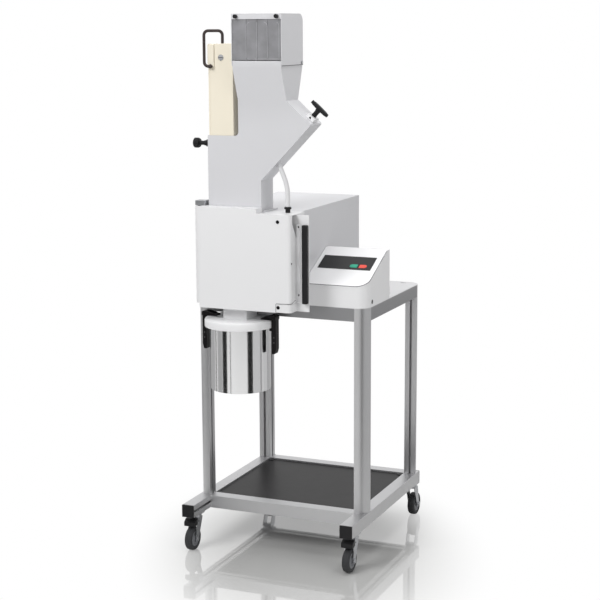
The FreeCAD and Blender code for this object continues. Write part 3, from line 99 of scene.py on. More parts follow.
class Grain(Enum):
    """How the small relief of a finish runs."""

    PEEL = (1.0, 1.0, 1.0)
    DRAWN_UP = (1.0, 1.0, 0.02)
    DRAWN_ACROSS = (0.02, 1.0, 1.0)


# Shared shader effects

def new_group(name: str, inputs: list[tuple[str, str, object]],
              outputs: list[tuple[str, str]]) -> tuple[Tree, object, object]:
    """Start a shader node group with named sockets.

    Args:
        name: the group's name.
        inputs: (socket name, socket type, default value) of each input.
        outputs: (socket name, socket type) of each output.

    Returns:
        The node tree, the sockets that its input node gives, and its output node.
    """
    tree = bpy.data.node_groups.new(name, "ShaderNodeTree")
    for label, kind, default in inputs:
        socket = tree.interface.new_socket(label, in_out="INPUT", socket_type=kind)
        socket.default_value = default
    for label, kind in outputs:
        tree.interface.new_socket(label, in_out="OUTPUT", socket_type=kind)
    return tree, tree.nodes.new("NodeGroupInput").outputs, tree.nodes.new("NodeGroupOutput")


def fill(tree: Tree, node: object, inputs: dict[int | str, object]) -> None:
    """Link or set the inputs of a node.

    Args:
        tree: the node tree.
        node: the node.
        inputs: for an input's name or number, the socket to link or the value to set.
    """
    for label, value in inputs.items():
        if isinstance(value, bpy.types.NodeSocket):
            tree.links.new(value, node.inputs[label])
        else:
            node.inputs[label].default_value = value


def new_node(tree: Tree, kind: str, inputs: dict[int | str, object],
             **settings: object) -> object:
    """Add a node to a tree.

    Args:
        tree: the node tree.
        kind: the node's type.
        inputs: for an input's name or number, the socket to link or the value to set.
        settings: the node's own settings.

    Returns:
        The node.
    """
    node = tree.nodes.new(kind)
    for name, value in settings.items():
        setattr(node, name, value)
    fill(tree, node, inputs)
    return node


def math_node(tree: Tree, operation: str, first: object, second: object,
              clamp: bool = False) -> object:
    """Output of a Math node whose two inputs are sockets or plain numbers."""
    return new_node(tree, "ShaderNodeMath", {0: first, 1: second}, operation=operation,
                    use_clamp=clamp).outputs[0]


def noise(tree: Tree, vector: object, scale: object, detail: float) -> object:
    """Noise value between 0 and 1 at a point, at a scale per metre."""
    return new_node(tree, "ShaderNodeTexNoise",
                    {"Vector": vector, "Scale": scale, "Detail": detail}).outputs["Fac"]


def object_place(tree: Tree) -> object:
    """Socket of the object coordinates."""
    return tree.nodes.new("ShaderNodeTexCoord").outputs["Object"]


class Effects:
    """Shader node groups that several finishes share; scales are per metre."""

    relief_detail = 3.0
    tone_detail = 2.0
    dust_scale = 38.0
    dust_detail = 5.0
    dust_upward = 0.6
    spot_edge = 10.0

    def __init__(self) -> None:
        """Build each group once."""
        self.relief = self.build_relief()
        self.tone = self.build_tone()
        self.handling = self.build_handling()
        self.spot = self.build_spot()

    def build_relief(self) -> Tree:
        """Fine relief: noise on object coordinates stretched along the way the finish was made.

        Returns:
            A group that puts out a height in metres.
        """
        tree, given, end = new_group("fine_relief", [
            ("Scale", FLOAT, 900.0), ("Depth", FLOAT, 0.00002),
            ("Stretch", VECTOR, (1.0, 1.0, 1.0))], [("Height", FLOAT)])
        stretch = new_node(tree, "ShaderNodeVectorMath", {
            0: object_place(tree), 1: given["Stretch"]}, operation="MULTIPLY")
        value = noise(tree, stretch.outputs[0], given["Scale"], self.relief_detail)
        fill(tree, end, {"Height": math_node(tree, "MULTIPLY", value, given["Depth"])})
        return tree

    def build_tone(self) -> Tree:
        """Slow change of colour: the base colour times 1 minus an amount of large soft noise.

        Returns:
            A group that puts out a colour.
        """
        tree, given, end = new_group("slow_tone", [
            ("Color", COLOUR, WHITE), ("Amount", FLOAT, 0.05), ("Scale", FLOAT, 6.0)],
            [("Color", COLOUR)])
        value = noise(tree, object_place(tree), given["Scale"], self.tone_detail)
        share = math_node(tree, "MULTIPLY", value, given["Amount"])
        scaled = new_node(tree, "ShaderNodeVectorMath", {
            0: given["Color"], "Scale": math_node(tree, "SUBTRACT", 1.0, share)},
            operation="SCALE")
        fill(tree, end, {"Color": scaled.outputs[0]})
        return tree

    def build_handling(self) -> Tree:
        """Traces of use: patchy noise raises the roughness, most on faces that look up.

        Returns:
            A group that puts out a roughness.
        """
        tree, given, end = new_group("handling", [
            ("Roughness", FLOAT, 0.4), ("Amount", FLOAT, 0.1)], [("Roughness", FLOAT)])
        geometry = tree.nodes.new("ShaderNodeNewGeometry")
        split = new_node(tree, "ShaderNodeSeparateXYZ", {0: geometry.outputs["Normal"]})
        upward = math_node(tree, "MULTIPLY", split.outputs["Z"], self.dust_upward, True)
        facing = math_node(tree, "ADD", upward, 1.0 - self.dust_upward)
        patches = noise(tree, object_place(tree), self.dust_scale, self.dust_detail)
        mask = math_node(tree, "MULTIPLY", patches, facing, True)
        extra = math_node(tree, "MULTIPLY", mask, given["Amount"])
        fill(tree, end, {"Roughness": math_node(tree, "ADD", given["Roughness"], extra)})
        return tree

    def build_spot(self) -> Tree:
        """Round place: 1 within a radius of a centre, falling to 0 over its last tenth.

        Returns:
            A group that puts out the mask.
        """
        tree, given, end = new_group("round_spot", [
            ("Centre", VECTOR, (0.0, 0.0, 0.0)), ("Radius", FLOAT, 0.004)], [("Mask", FLOAT)])
        reach = new_node(tree, "ShaderNodeVectorMath", {
            0: object_place(tree), 1: given["Centre"]}, operation="DISTANCE")
        share = math_node(tree, "DIVIDE", reach.outputs["Value"], given["Radius"])
        left = math_node(tree, "SUBTRACT", 1.0, share)
        fill(tree, end, {"Mask": math_node(tree, "MULTIPLY", left, self.spot_edge, True)})
        return tree


@dataclass(frozen=True)
class Finish:
    """One surface finish; depth is in metres and scales are per metre."""

    name: str
    slot: str
    colour: Triple
    roughness: float
    metallic: float = 0.0
    coat: float = 0.0
    grain: Grain = Grain.PEEL
    scale: float = 900.0
    depth: float = 0.00001
    tone: float = 0.04
    tone_scale: float = 6.0
    wear: float = 0.08
    alpha: float = 1.0
    specular: float = 0.5
    spot: tuple[float, float, float, float] | None = None

    def material(self, effects: Effects) -> bpy.types.Material:
        """Node material of the finish.

        Args:
            effects: the shared shader groups.

        Returns:
            The material, made once and then found again by its name.
        """
        found = bpy.data.materials.get(self.name)
        if found is not None:
            return found
        made = bpy.data.materials.new(self.name)
        made.use_nodes = True
        tree = made.node_tree
        tone = new_node(tree, "ShaderNodeGroup", {
            "Color": (*self.colour, 1.0), "Amount": self.tone, "Scale": self.tone_scale},
            node_tree=effects.tone)
        use = new_node(tree, "ShaderNodeGroup", {
            "Roughness": self.roughness, "Amount": self.wear}, node_tree=effects.handling)
        relief = new_node(tree, "ShaderNodeGroup", {
            "Scale": self.scale, "Depth": self.depth, "Stretch": self.grain.value},
            node_tree=effects.relief)
        colour, height = tone.outputs["Color"], relief.outputs["Height"]
        if self.spot is not None:
            colour, height = self.with_spot(tree, effects, colour, height)
        bump = new_node(tree, "ShaderNodeBump", {"Distance": 1.0, "Height": height})
        fill(tree, tree.nodes["Principled BSDF"], {
            "Metallic": self.metallic, "Coat Weight": self.coat, "Alpha": self.alpha,
            "Specular IOR Level": self.specular, "Base Color": colour,
            "Roughness": use.outputs["Roughness"], "Normal": bump.outputs["Normal"]})
        return made

    def with_spot(self, tree: Tree, effects: Effects, colour: object,
                  height: object) -> tuple[object, object]:
        """Countersunk dark screw: a round place where the colour turns dark and the relief drops.

        Args:
            tree: the material's node tree.
            effects: the shared shader groups.
            colour: the socket of the colour round it.
            height: the socket of the relief round it.

        Returns:
            The sockets of the colour and the height with the screw in them.
        """
        mask = new_node(tree, "ShaderNodeGroup", {
            "Centre": tuple(at(*self.spot[:3])), "Radius": self.spot[3] * MILLIMETRE},
            node_tree=effects.spot).outputs["Mask"]
        mix = new_node(tree, "ShaderNodeMix", {0: mask, 6: colour, 7: SCREW_DARK}, data_type="RGBA")
        drop = math_node(tree, "MULTIPLY", mask, -SCREW_DEPTH)
        return mix.outputs[2], math_node(tree, "ADD", height, drop)


PAINT = Finish("white_powder_coat", "white_paint", (0.79, 0.79, 0.80), 0.38, coat=0.1,
               depth=0.000012, scale=520.0, tone=0.025)
TABLE_PAINT = Finish("table_powder_coat", "table_paint", (0.70, 0.70, 0.71), 0.42, depth=0.000015,
                     scale=520.0, tone=0.04)
# Darker copy of the white powder coat: painted shade on the motor cover, hopper and hood, which
# have the same white paint.
SHADED_SHEET_PAINT = replace(PAINT, name="sheet_powder_coat_painted_shade", colour=(0.63, 0.63, 0.65))
ALUMINIUM = Finish("satin_aluminium", "anodised_aluminium", (0.62, 0.62, 0.63), 0.36, metallic=0.9,
                   grain=Grain.DRAWN_UP, scale=1400.0, tone=0.06, tone_scale=9.0)
# Darker copy of the satin aluminium: painted shade on the table rails under the table top.
SHADED_RAIL_ALUMINIUM = replace(ALUMINIUM, name="satin_table_rail_painted_shade", colour=(0.36, 0.36, 0.37))
TOOL_STEEL = Finish("machined_steel", "tool_steel", (0.56, 0.56, 0.57), 0.32, metallic=1.0,
                    grain=Grain.DRAWN_ACROSS, scale=1600.0, tone=0.08)
CAN_STEEL = Finish("brushed_can_steel", "can_steel", (0.95, 0.95, 0.96), 0.13, metallic=1.0,
                   grain=Grain.DRAWN_ACROSS, scale=1500.0, depth=0.000003, tone=0.05, wear=0.05)
ZINC = Finish("zinc_plate", "zinc_steel", (0.56, 0.57, 0.59), 0.3, metallic=1.0, scale=260.0,
              tone=0.18, tone_scale=60.0, wear=0.16)
MOTOR = Finish("motor_coat", "motor_metal", (0.32, 0.34, 0.37), 0.5, depth=0.00004, scale=300.0)
CREAM = Finish("cream_coat", "cream_paint", (0.83, 0.77, 0.64), 0.42, depth=0.000012, tone=0.04)
DARK_ROD = Finish("dark_rod_coat", "dark_rod", (0.03, 0.018, 0.016), 0.3, coat=0.15, depth=0.000008,
                  tone=0.15)
BLACK_PLASTIC = Finish("black_moulding", "black_plastic", (0.010, 0.010, 0.011), 0.4, depth=0.00003,
                       scale=1500.0, tone=0.2, specular=0.3)
BLACK_METAL = Finish("black_steel_coat", "black_metal", (0.008, 0.007, 0.008), 0.38, depth=0.000018,
                     tone=0.2, specular=0.16)
BOARD = Finish("dark_shelf_board", "dark_board", (0.015, 0.014, 0.015), 0.34, specular=0.1,
               depth=0.000001, scale=220.0, tone=0.08, tone_scale=14.0, wear=0.04)
TYRE = Finish("dark_tyre", "wheel_tyre", (0.035, 0.036, 0.039), 0.62, depth=0.00005, scale=700.0,
              tone=0.2, tone_scale=30.0)
HUB = Finish("grey_hub", "wheel_tyre", (0.19, 0.195, 0.21), 0.45, depth=0.00003)
HUB_METAL = Finish("dark_rivet", "black_metal", (0.08, 0.08, 0.085), 0.35, metallic=0.6,
                   depth=0.00002)
SEAL = Finish("black_seal", "seal_rubber", (0.03, 0.03, 0.03), 0.7, depth=0.00004)
CURTAIN = Finish("clear_grey_strip", "curtain_plastic", (0.40, 0.40, 0.42), 0.2, coat=0.3,
                 grain=Grain.DRAWN_UP, scale=90.0, depth=0.0003, tone=0.5, tone_scale=26.0,
                 alpha=0.72)
CONDUIT = Finish("grey_sleeve", "conduit_plastic", (0.70, 0.70, 0.71), 0.45, depth=0.00005,
                 scale=420.0)
PANEL = Finish("black_panel_foil", "panel_foil", (0.010, 0.010, 0.011), 0.25, depth=0.000006,
               specular=0.35)
# Dark line for the real seams, also used for the painted shadow under the hood's lower edge.
SEAM_AND_SHADOW_LINE = Finish("grey_seam_and_shadow_line", "black_metal", (0.06, 0.06, 0.063), 0.6)
BEAD = Finish("clear_strip_edge", "curtain_plastic", (0.5, 0.5, 0.52), 0.2, coat=0.2)
CONTROL_PAINT = replace(PAINT, name="control_powder_coat", spot=(287.0, 171.0, 815.0, 7.2))
GREEN = Finish("green_key_cap", "green_key", (0.0, 0.33, 0.2), 0.35, coat=0.2)
RED = Finish("red_key_cap", "red_key", (0.75, 0.06, 0.035), 0.35, coat=0.2)
SLOT_FINISHES = {finish.slot: finish for finish in (
    PAINT, TABLE_PAINT, ALUMINIUM, TOOL_STEEL, CAN_STEEL, ZINC, MOTOR, CREAM, DARK_ROD,
    BLACK_PLASTIC, BLACK_METAL, BOARD, TYRE, SEAL, CURTAIN, CONDUIT, PANEL, GREEN, RED)}
NODE_FINISHES = {"table_rails": SHADED_RAIL_ALUMINIUM, "motor_cover": SHADED_SHEET_PAINT,
                 "hopper_body": SHADED_SHEET_PAINT, "hood": SHADED_SHEET_PAINT,
                 "control_housing": CONTROL_PAINT}


# Surfaces

Surface = tuple[Array, Array]
Outline = Sequence[Pair]
Flutes = tuple[int, float, float, float]
Roundings = tuple[tuple[str, float], ...]
UPRIGHT = 0.9
EASED_SHARE = 0.45
BLOCK_ROWS, BLOCK_COLUMNS = 25, 48
RIBBON_SIDES = 10
HEAD_BRIM, HEAD_FLAT, HEAD_EASING, HEAD_SEGMENTS = 0.35, 0.72, 0.3, 36
SIDES = (("left", -1.0), ("right", 1.0))


def grid_surface(points: Array, wrap_rows: bool, wrap_columns: bool) -> Surface:
    """Quads over a grid of points, closed on itself along either direction.

    Args:
        points: rows by columns by 3.
        wrap_rows: join the last row to the first.
        wrap_columns: join the last column to the first.

    Returns:
        The points as a list of rows of 3, and the quads as rows of 4 indices.
    """
    rows, columns = points.shape[:2]
    index = np.arange(rows * columns).reshape(rows, columns)
    if wrap_rows:
        index = np.vstack([index, index[:1]])
    if wrap_columns:
        index = np.hstack([index, index[:, :1]])
    quads = np.stack([index[:-1, :-1], index[:-1, 1:], index[1:, 1:], index[1:, :-1]], axis=-1)
    return points.reshape(-1, 3), quads.reshape(-1, 4)


def full_turn(points: int) -> Array:
    """Angles of evenly spaced points round a full turn."""
    return np.linspace(0.0, 2 * math.pi, points, endpoint=False)


def signed_power(value: Array, power: float) -> Array:
    """Value raised to a power, with its sign kept."""
    return np.sign(value) * np.abs(value) ** power


def across(axis: Array) -> tuple[Array, Array]:
    """Two directions at right angles to an axis and to each other.

    Args:
        axis: unit direction.

    Returns:
        The two unit directions.
    """
    helper = AXIS_Z if abs(axis[2]) < UPRIGHT else AXIS_X
    first = np.cross(helper, axis)
    first /= np.linalg.norm(first)
    return first, np.cross(axis, first)


def eased(corners: Outline, reach: float, steps: int = 5, closed: bool = False) -> Array:
    """Outline whose corners are rounded by a curve from one side to the other.

    Each corner c becomes (1-t)(1-t)a + 2t(1-t)c + t t b, where a and b lie on its two sides, at
    the reach or at a fixed share of the side's length, whichever is less.

    Args:
        corners: (radius, height) pairs in order.
        reach: how far back from a corner its rounding starts.
        steps: points on each rounding.
        closed: whether the last corner joins the first.

    Returns:
        The outline as rows of (radius, height).
    """
    corner = np.array(corners, float)
    ends = []
    for shift in (1, -1):
        side = np.roll(corner, shift, axis=0) - corner
        length = np.linalg.norm(side, axis=1, keepdims=True)
        ends.append(corner + side / length * np.minimum(reach, EASED_SHARE * length))
    t = np.linspace(0.0, 1.0, steps)[None, :, None]
    first, last = ends[0][:, None], ends[1][:, None]
    curve = (1 - t) ** 2 * first + 2 * t * (1 - t) * corner[:, None] + t ** 2 * last
    if closed:
        return curve.reshape(-1, 2)
    return np.concatenate([corner[:1], curve[1:-1].reshape(-1, 2), corner[-1:]])


def turned(centre: Array, axis: Array, outline: Array, closed: bool = False,
           segments: int = 48, flutes: Flutes = (0, 0.0, 0.0, 0.0)) -> Surface:
    """Surface of revolution: centre + height * axis + radius * (cos a, sin a) across the axis.

    Between two heights the radius loses depth * (1 - cos(number * a)) / 2 for its flutes.

    Args:
        centre: point in metres from which the heights count.
        axis: unit direction of the axis.
        outline: rows of (radius, height) in millimetres.
        closed: whether the outline is a closed loop.
        segments: points round the axis.
        flutes: number of grooves round it, their depth, and the two heights between which they
            lie, in millimetres.

    Returns:
        The surface.
    """
    number, depth, low, high = flutes
    first, second = across(axis)
    angle = full_turn(segments)[None, :]
    height = outline[:, 1:]
    inside = (height >= low) & (height <= high)
    radius = outline[:, :1] - inside * depth * (1 - np.cos(number * angle)) / 2
    spokes = np.cos(angle)[..., None] * first + np.sin(angle)[..., None] * second
    points = centre + (height[..., None] * axis + radius[..., None] * spokes) * MILLIMETRE
    return grid_surface(points, closed, True)


def soft_block(centre: Array, halves: Triple, power: float = 6.0,
               axes: tuple[Array, ...] = (AXIS_X, AXIS_Y, AXIS_Z)) -> Surface:
    """Rounded block: a superellipsoid, |x/a|^n + |y/b|^n + |z/c|^n = 1.

    Args:
        centre: its middle, in metres.
        halves: half its size along each of its axes, in millimetres.
        power: n, higher for flatter faces.
        axes: its three directions.

    Returns:
        The surface.
    """
    rise = np.linspace(-math.pi / 2, math.pi / 2, BLOCK_ROWS)[:, None]
    turn = np.linspace(-math.pi, math.pi, BLOCK_COLUMNS, endpoint=False)[None, :]
    share = 2 / power
    level = signed_power(np.cos(rise), share)
    parts = (level * signed_power(np.cos(turn), share), level * signed_power(np.sin(turn), share),
             signed_power(np.sin(rise), share) * np.ones_like(turn))
    points = centre + sum(part[..., None] * axis * half * MILLIMETRE
                          for part, axis, half in zip(parts, axes, halves))
    return grid_surface(points, False, True)


def ribbon(path: Array, radius: float) -> Surface:
    """Thin tube: path + radius * (cos a * side + sin a * up), where side and up cross the path.

    Args:
        path: rows of points in millimetres in the maker's layout.
        radius: of the tube, in millimetres.

    Returns:
        The surface, drawn to a point at both ends.
    """
    along = np.gradient(path, axis=0)
    along /= np.linalg.norm(along, axis=1, keepdims=True)
    helper = np.where(np.abs(along[:, 2:]) < UPRIGHT, AXIS_Z, AXIS_Y)
    side = np.cross(helper, along)
    side /= np.linalg.norm(side, axis=1, keepdims=True)
    up = np.cross(along, side)
    turn = full_turn(RIBBON_SIDES)[None, :, None]
    ring = path[:, None] + radius * (np.cos(turn) * side[:, None] + np.sin(turn) * up[:, None])
    ends = [np.repeat(point[None, None], RIBBON_SIDES, axis=1) for point in (path[0], path[-1])]
    points = np.concatenate([ends[0], ring, ends[1]])
    return grid_surface((points - AXIS_Y * LAYOUT_MIDDLE) * MILLIMETRE, False, True)


def button_heads(x: float, y: float, heights: Sequence[float], axis: Array,
                 size: Triple) -> list[Surface]:
    """Domed screw heads with round-bottomed sockets, one above the other on a surface.

    Args:
        x: their place to the right, in the maker's layout.
        y: their place to the rear.
        heights: height of each.
        axis: unit direction in which they stand up.
        size: radius, height and socket's radius of a head, in millimetres.

    Returns:
        The surfaces.
    """
    radius, height, socket = size
    brim, flat = height * HEAD_BRIM, radius * HEAD_FLAT
    outline = eased([(0.0, brim), (socket, brim), (socket, height), (flat, height),
                     (radius, brim), (radius, 0.0), (0.0, 0.0)], height * HEAD_EASING)
    return [turned(at(x, y, z), axis, outline, segments=HEAD_SEGMENTS) for z in heights]


class Shop:
    """Makes finished pieces in Blender and hands them to the frame.

    Merge distances are in metres and angles in degrees.
    """

    new_merge = 1e-7
    new_sharp = 38.0
    copy_merge = 2e-6
    copy_sharp = 32.0
    copy_flat = 0.4
    rounding_segments = 2

    def __init__(self, frame: dict) -> None:
        """Keep the frame and build the shared effects."""
        self.frame = frame
        self.effects = Effects()

    def dress_nodes(self) -> None:
        """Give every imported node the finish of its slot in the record."""
        for part in self.frame["record"]["subparts"]:
            finish = SLOT_FINISHES[part["material_slot"]]
            mesh = self.frame["nodes"][part["node"]].data
            mesh.materials.clear()
            mesh.materials.append(finish.material(self.effects))

    def add(self, name: str, surfaces: list[Surface], finish: Finish, body: str,
            replaces: tuple[str, ...] = ()) -> None:
        """Make one piece of several surfaces and let it ride on a body.

        Args:
            name: the piece's name.
            surfaces: the surfaces that it is made of.
            finish: its finish.
            body: the body that carries it.
            replaces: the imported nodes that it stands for.
        """
        starts = np.cumsum([0] + [len(points) for points, _ in surfaces])
        points = np.concatenate([surface[0] for surface in surfaces])
        quads = np.concatenate([surface[1] + start for surface, start in zip(surfaces, starts)])
        mesh = bpy.data.meshes.new(name)
        mesh.from_pydata(points.tolist(), [], quads.tolist())
        self.complete(name, mesh, finish, body, replaces, False)

    def soften(self, widths: Roundings) -> None:
        """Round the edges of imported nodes, each by the width beside its name."""
        for node, width in widths:
            self.eased_copy(node, width)

    def eased_copy(self, node: str, width: float) -> None:
        """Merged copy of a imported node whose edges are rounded, standing for the node.

        Args:
            node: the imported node.
            width: reach of the rounding in millimetres, or 0 for smooth shading alone.
        """
        source = self.frame["nodes"][node].data
        points = np.zeros(len(source.vertices) * 3)
        source.vertices.foreach_get("co", points)
        corners = np.zeros(len(source.loops), int)
        source.loops.foreach_get("vertex_index", corners)
        name = f"{node}_skin"
        mesh = bpy.data.meshes.new(name)
        mesh.from_pydata(points.reshape(-1, 3).tolist(), [], corners.reshape(-1, 3).tolist())
        record = self.frame["record"]
        slot = next(p["material_slot"] for p in record["subparts"] if p["node"] == node)
        body = next(b for b, nodes in record["behaviour"]["bodies"].items() if node in nodes)
        finish = NODE_FINISHES.get(node, SLOT_FINISHES[slot])
        piece = self.complete(name, mesh, finish, body, (node,), True)
        if width:
            bevel = piece.modifiers.new("rounding", "BEVEL")
            bevel.width = width * MILLIMETRE
            bevel.segments = self.rounding_segments
            bevel.limit_method = "ANGLE"
            bevel.angle_limit = math.radians(self.copy_sharp)
            bevel.harden_normals = True

    def complete(self, name: str, mesh: bpy.types.Mesh, finish: Finish, body: str,
                 replaces: tuple[str, ...], copied: bool) -> bpy.types.Object:
        """Close seams, set normals and shading, and hand the piece to the frame.

        Args:
            name: the piece's name.
            mesh: its mesh.
            finish: its finish.
            body: the body that carries it.
            replaces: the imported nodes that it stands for.
            copied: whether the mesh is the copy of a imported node, whose faces look outward.

        Returns:
            The object.
        """
        sharp = self.copy_sharp if copied else self.new_sharp
        work = bmesh.new()
        work.from_mesh(mesh)
        bmesh.ops.remove_doubles(work, verts=work.verts,
                                 dist=self.copy_merge if copied else self.new_merge)
        if copied:
            bmesh.ops.dissolve_limit(work, angle_limit=math.radians(self.copy_flat),
                                     verts=work.verts, edges=work.edges)
        else:
            bmesh.ops.recalc_face_normals(work, faces=work.faces)
        work.to_mesh(mesh)
        work.free()
        mesh.shade_smooth()
        mesh.set_sharp_from_angle(angle=math.radians(sharp))
        mesh.materials.append(finish.material(self.effects))
        piece = bpy.data.objects.new(name, mesh)
        bpy.context.scene.collection.objects.link(piece)
        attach(piece, body)
        if replaces:
            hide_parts(*replaces)
        LOG.info("%s rides on %s", name, body)
        return piece


@dataclass
class FrameDetails:
    """Clips at the shelf corners, dark blocks in the table's slots that paint the shade seen
    through them, and softened rails.
    """

    roundings: Roundings = (("legs", 0.6), ("base_rails", 0.6), ("rail_end_caps", 1.6),
                            ("table_top", 0.5), ("bottom_shelf", 0.8), ("table_rails", 0.6))
    inner_half: float = 247.0
    rows: Pair = (162.0, 592.0)
    shelf_top: float = 150.0
    clip_half: float = 9.0
    clip_rise: float = 1.6
    slots: Outline = ((232.6, 611.6), (251.2, 410.2))
    slot_floor: float = 799.7
    slot_shade_halves: Triple = (10.9, 3.4, 0.5)
    slot_shade_power: float = 8.0

    def build(self, shop: Shop) -> None:
        """Round the frame's edges and add the dark blocks that paint the shade in the table's
        slots, and the corner clips.

        Args:
            shop: makes the pieces.
        """
        shop.soften(self.roundings)
        # Black blocks in the table's through slots: painted shade where the slots look into the
        # dark under the table.
        slot_shades = [soft_block(at(x, y, self.slot_floor), self.slot_shade_halves, self.slot_shade_power)
                   for x, y in self.slots]
        shop.add("table_slot_painted_shade", slot_shades, BLACK_PLASTIC, "stand")
        clips = []
        for _, side in SIDES:
            for row, inward in zip(self.rows, (1.0, -1.0)):
                middle = at(side * (self.inner_half - self.clip_half),
                            row + inward * self.clip_half, self.shelf_top + self.clip_rise * 0.5)
                clips.append(soft_block(middle, (self.clip_half, self.clip_half, self.clip_rise)))
        shop.add("shelf_corner_clips", clips, BLACK_PLASTIC, "stand")


@dataclass
class Castors:
    """Tyres, hubs and axle nuts of the four swivel castors."""

    across_axis: float = 267.0
    rows: tuple[tuple[str, float], ...] = (("front", 33.0), ("rear", 640.0))
    wheel_radius: float = 37.5
    half_width: float = 12.0
    tyre_middle: float = 30.5
    tyre_points: tuple[int, int] = (28, 56)
    hub_side: Outline = ((4.1, 11.4), (9.5, 11.4), (11.0, 8.0), (18.5, 7.4), (20.5, 10.6),
                         (24.6, 10.6))
    hub_easing: float = 1.0
    nut_start: float = 15.9
    nut_reach: float = 3.9
    nut_radius: float = 8.4
    nut_face: float = 5.4
    nut_slope: float = 1.0
    nut_easing: float = 0.3
    fork_rounding: float = 0.5
    roundings: Roundings = (("brake_pedal_left", 0.0), ("brake_pedal_right", 0.0),
                            ("castor_mounts", 0.4))

    def wheel(self, axle: Array) -> tuple[Surface, Surface]:
        """Tyre and hub of a wheel.

        The tyre is a ring whose section is |r/a|^3 + |w/b|^3 = 1 round its own middle; the hub is
        a stepped disc with a dished web on both sides.

        Args:
            axle: middle of the wheel, in metres.

        Returns:
            The two surfaces.
        """
        round_section, round_axle = self.tyre_points
        turn = full_turn(round_section)
        half_height = self.wheel_radius - self.tyre_middle
        section = np.stack([
            self.tyre_middle + half_height * signed_power(np.cos(turn), 2 / 3),
            self.half_width * signed_power(np.sin(turn), 2 / 3)], axis=1)
        other = [(radius, -height) for radius, height in reversed(self.hub_side)]
        outline = eased([*self.hub_side, *other], self.hub_easing, 4, closed=True)
        return (turned(axle, AXIS_X, section, closed=True, segments=round_axle),
                turned(axle, AXIS_X, outline, closed=True))

    def nuts(self, axle: Array) -> list[Surface]:
        """Six-sided nuts with eased corners on both ends of the axle.

        Args:
            axle: middle of the wheel, in metres.

        Returns:
            The two surfaces.
        """
        end = self.nut_start + self.nut_reach
        outline = eased([(0.0, end), (self.nut_face, end), (self.nut_radius, end - self.nut_slope),
                         (self.nut_radius, self.nut_start), (0.0, self.nut_start)],
                        self.nut_easing, 3)
        return [turned(axle, AXIS_X * side, outline, segments=6) for _, side in SIDES]

    def build(self, shop: Shop) -> None:
        """Dress the four castors.

        Args:
            shop: makes the pieces.
        """
        for end, row in self.rows:
            for side, sign in SIDES:
                place = f"{end}_{side}"
                axle = at(sign * self.across_axis, row, self.wheel_radius)
                tyre, hub = self.wheel(axle)
                shop.add(f"tyre_{place}", [tyre], TYRE, f"roller_{place}", (f"wheel_{place}",))
                shop.add(f"hub_{place}", [hub], HUB, f"roller_{place}")
                shop.add(f"axle_nuts_{place}", self.nuts(axle), ZINC, f"swivel_{place}")
                shop.eased_copy(f"fork_{place}", self.fork_rounding)
        shop.soften(self.roundings)


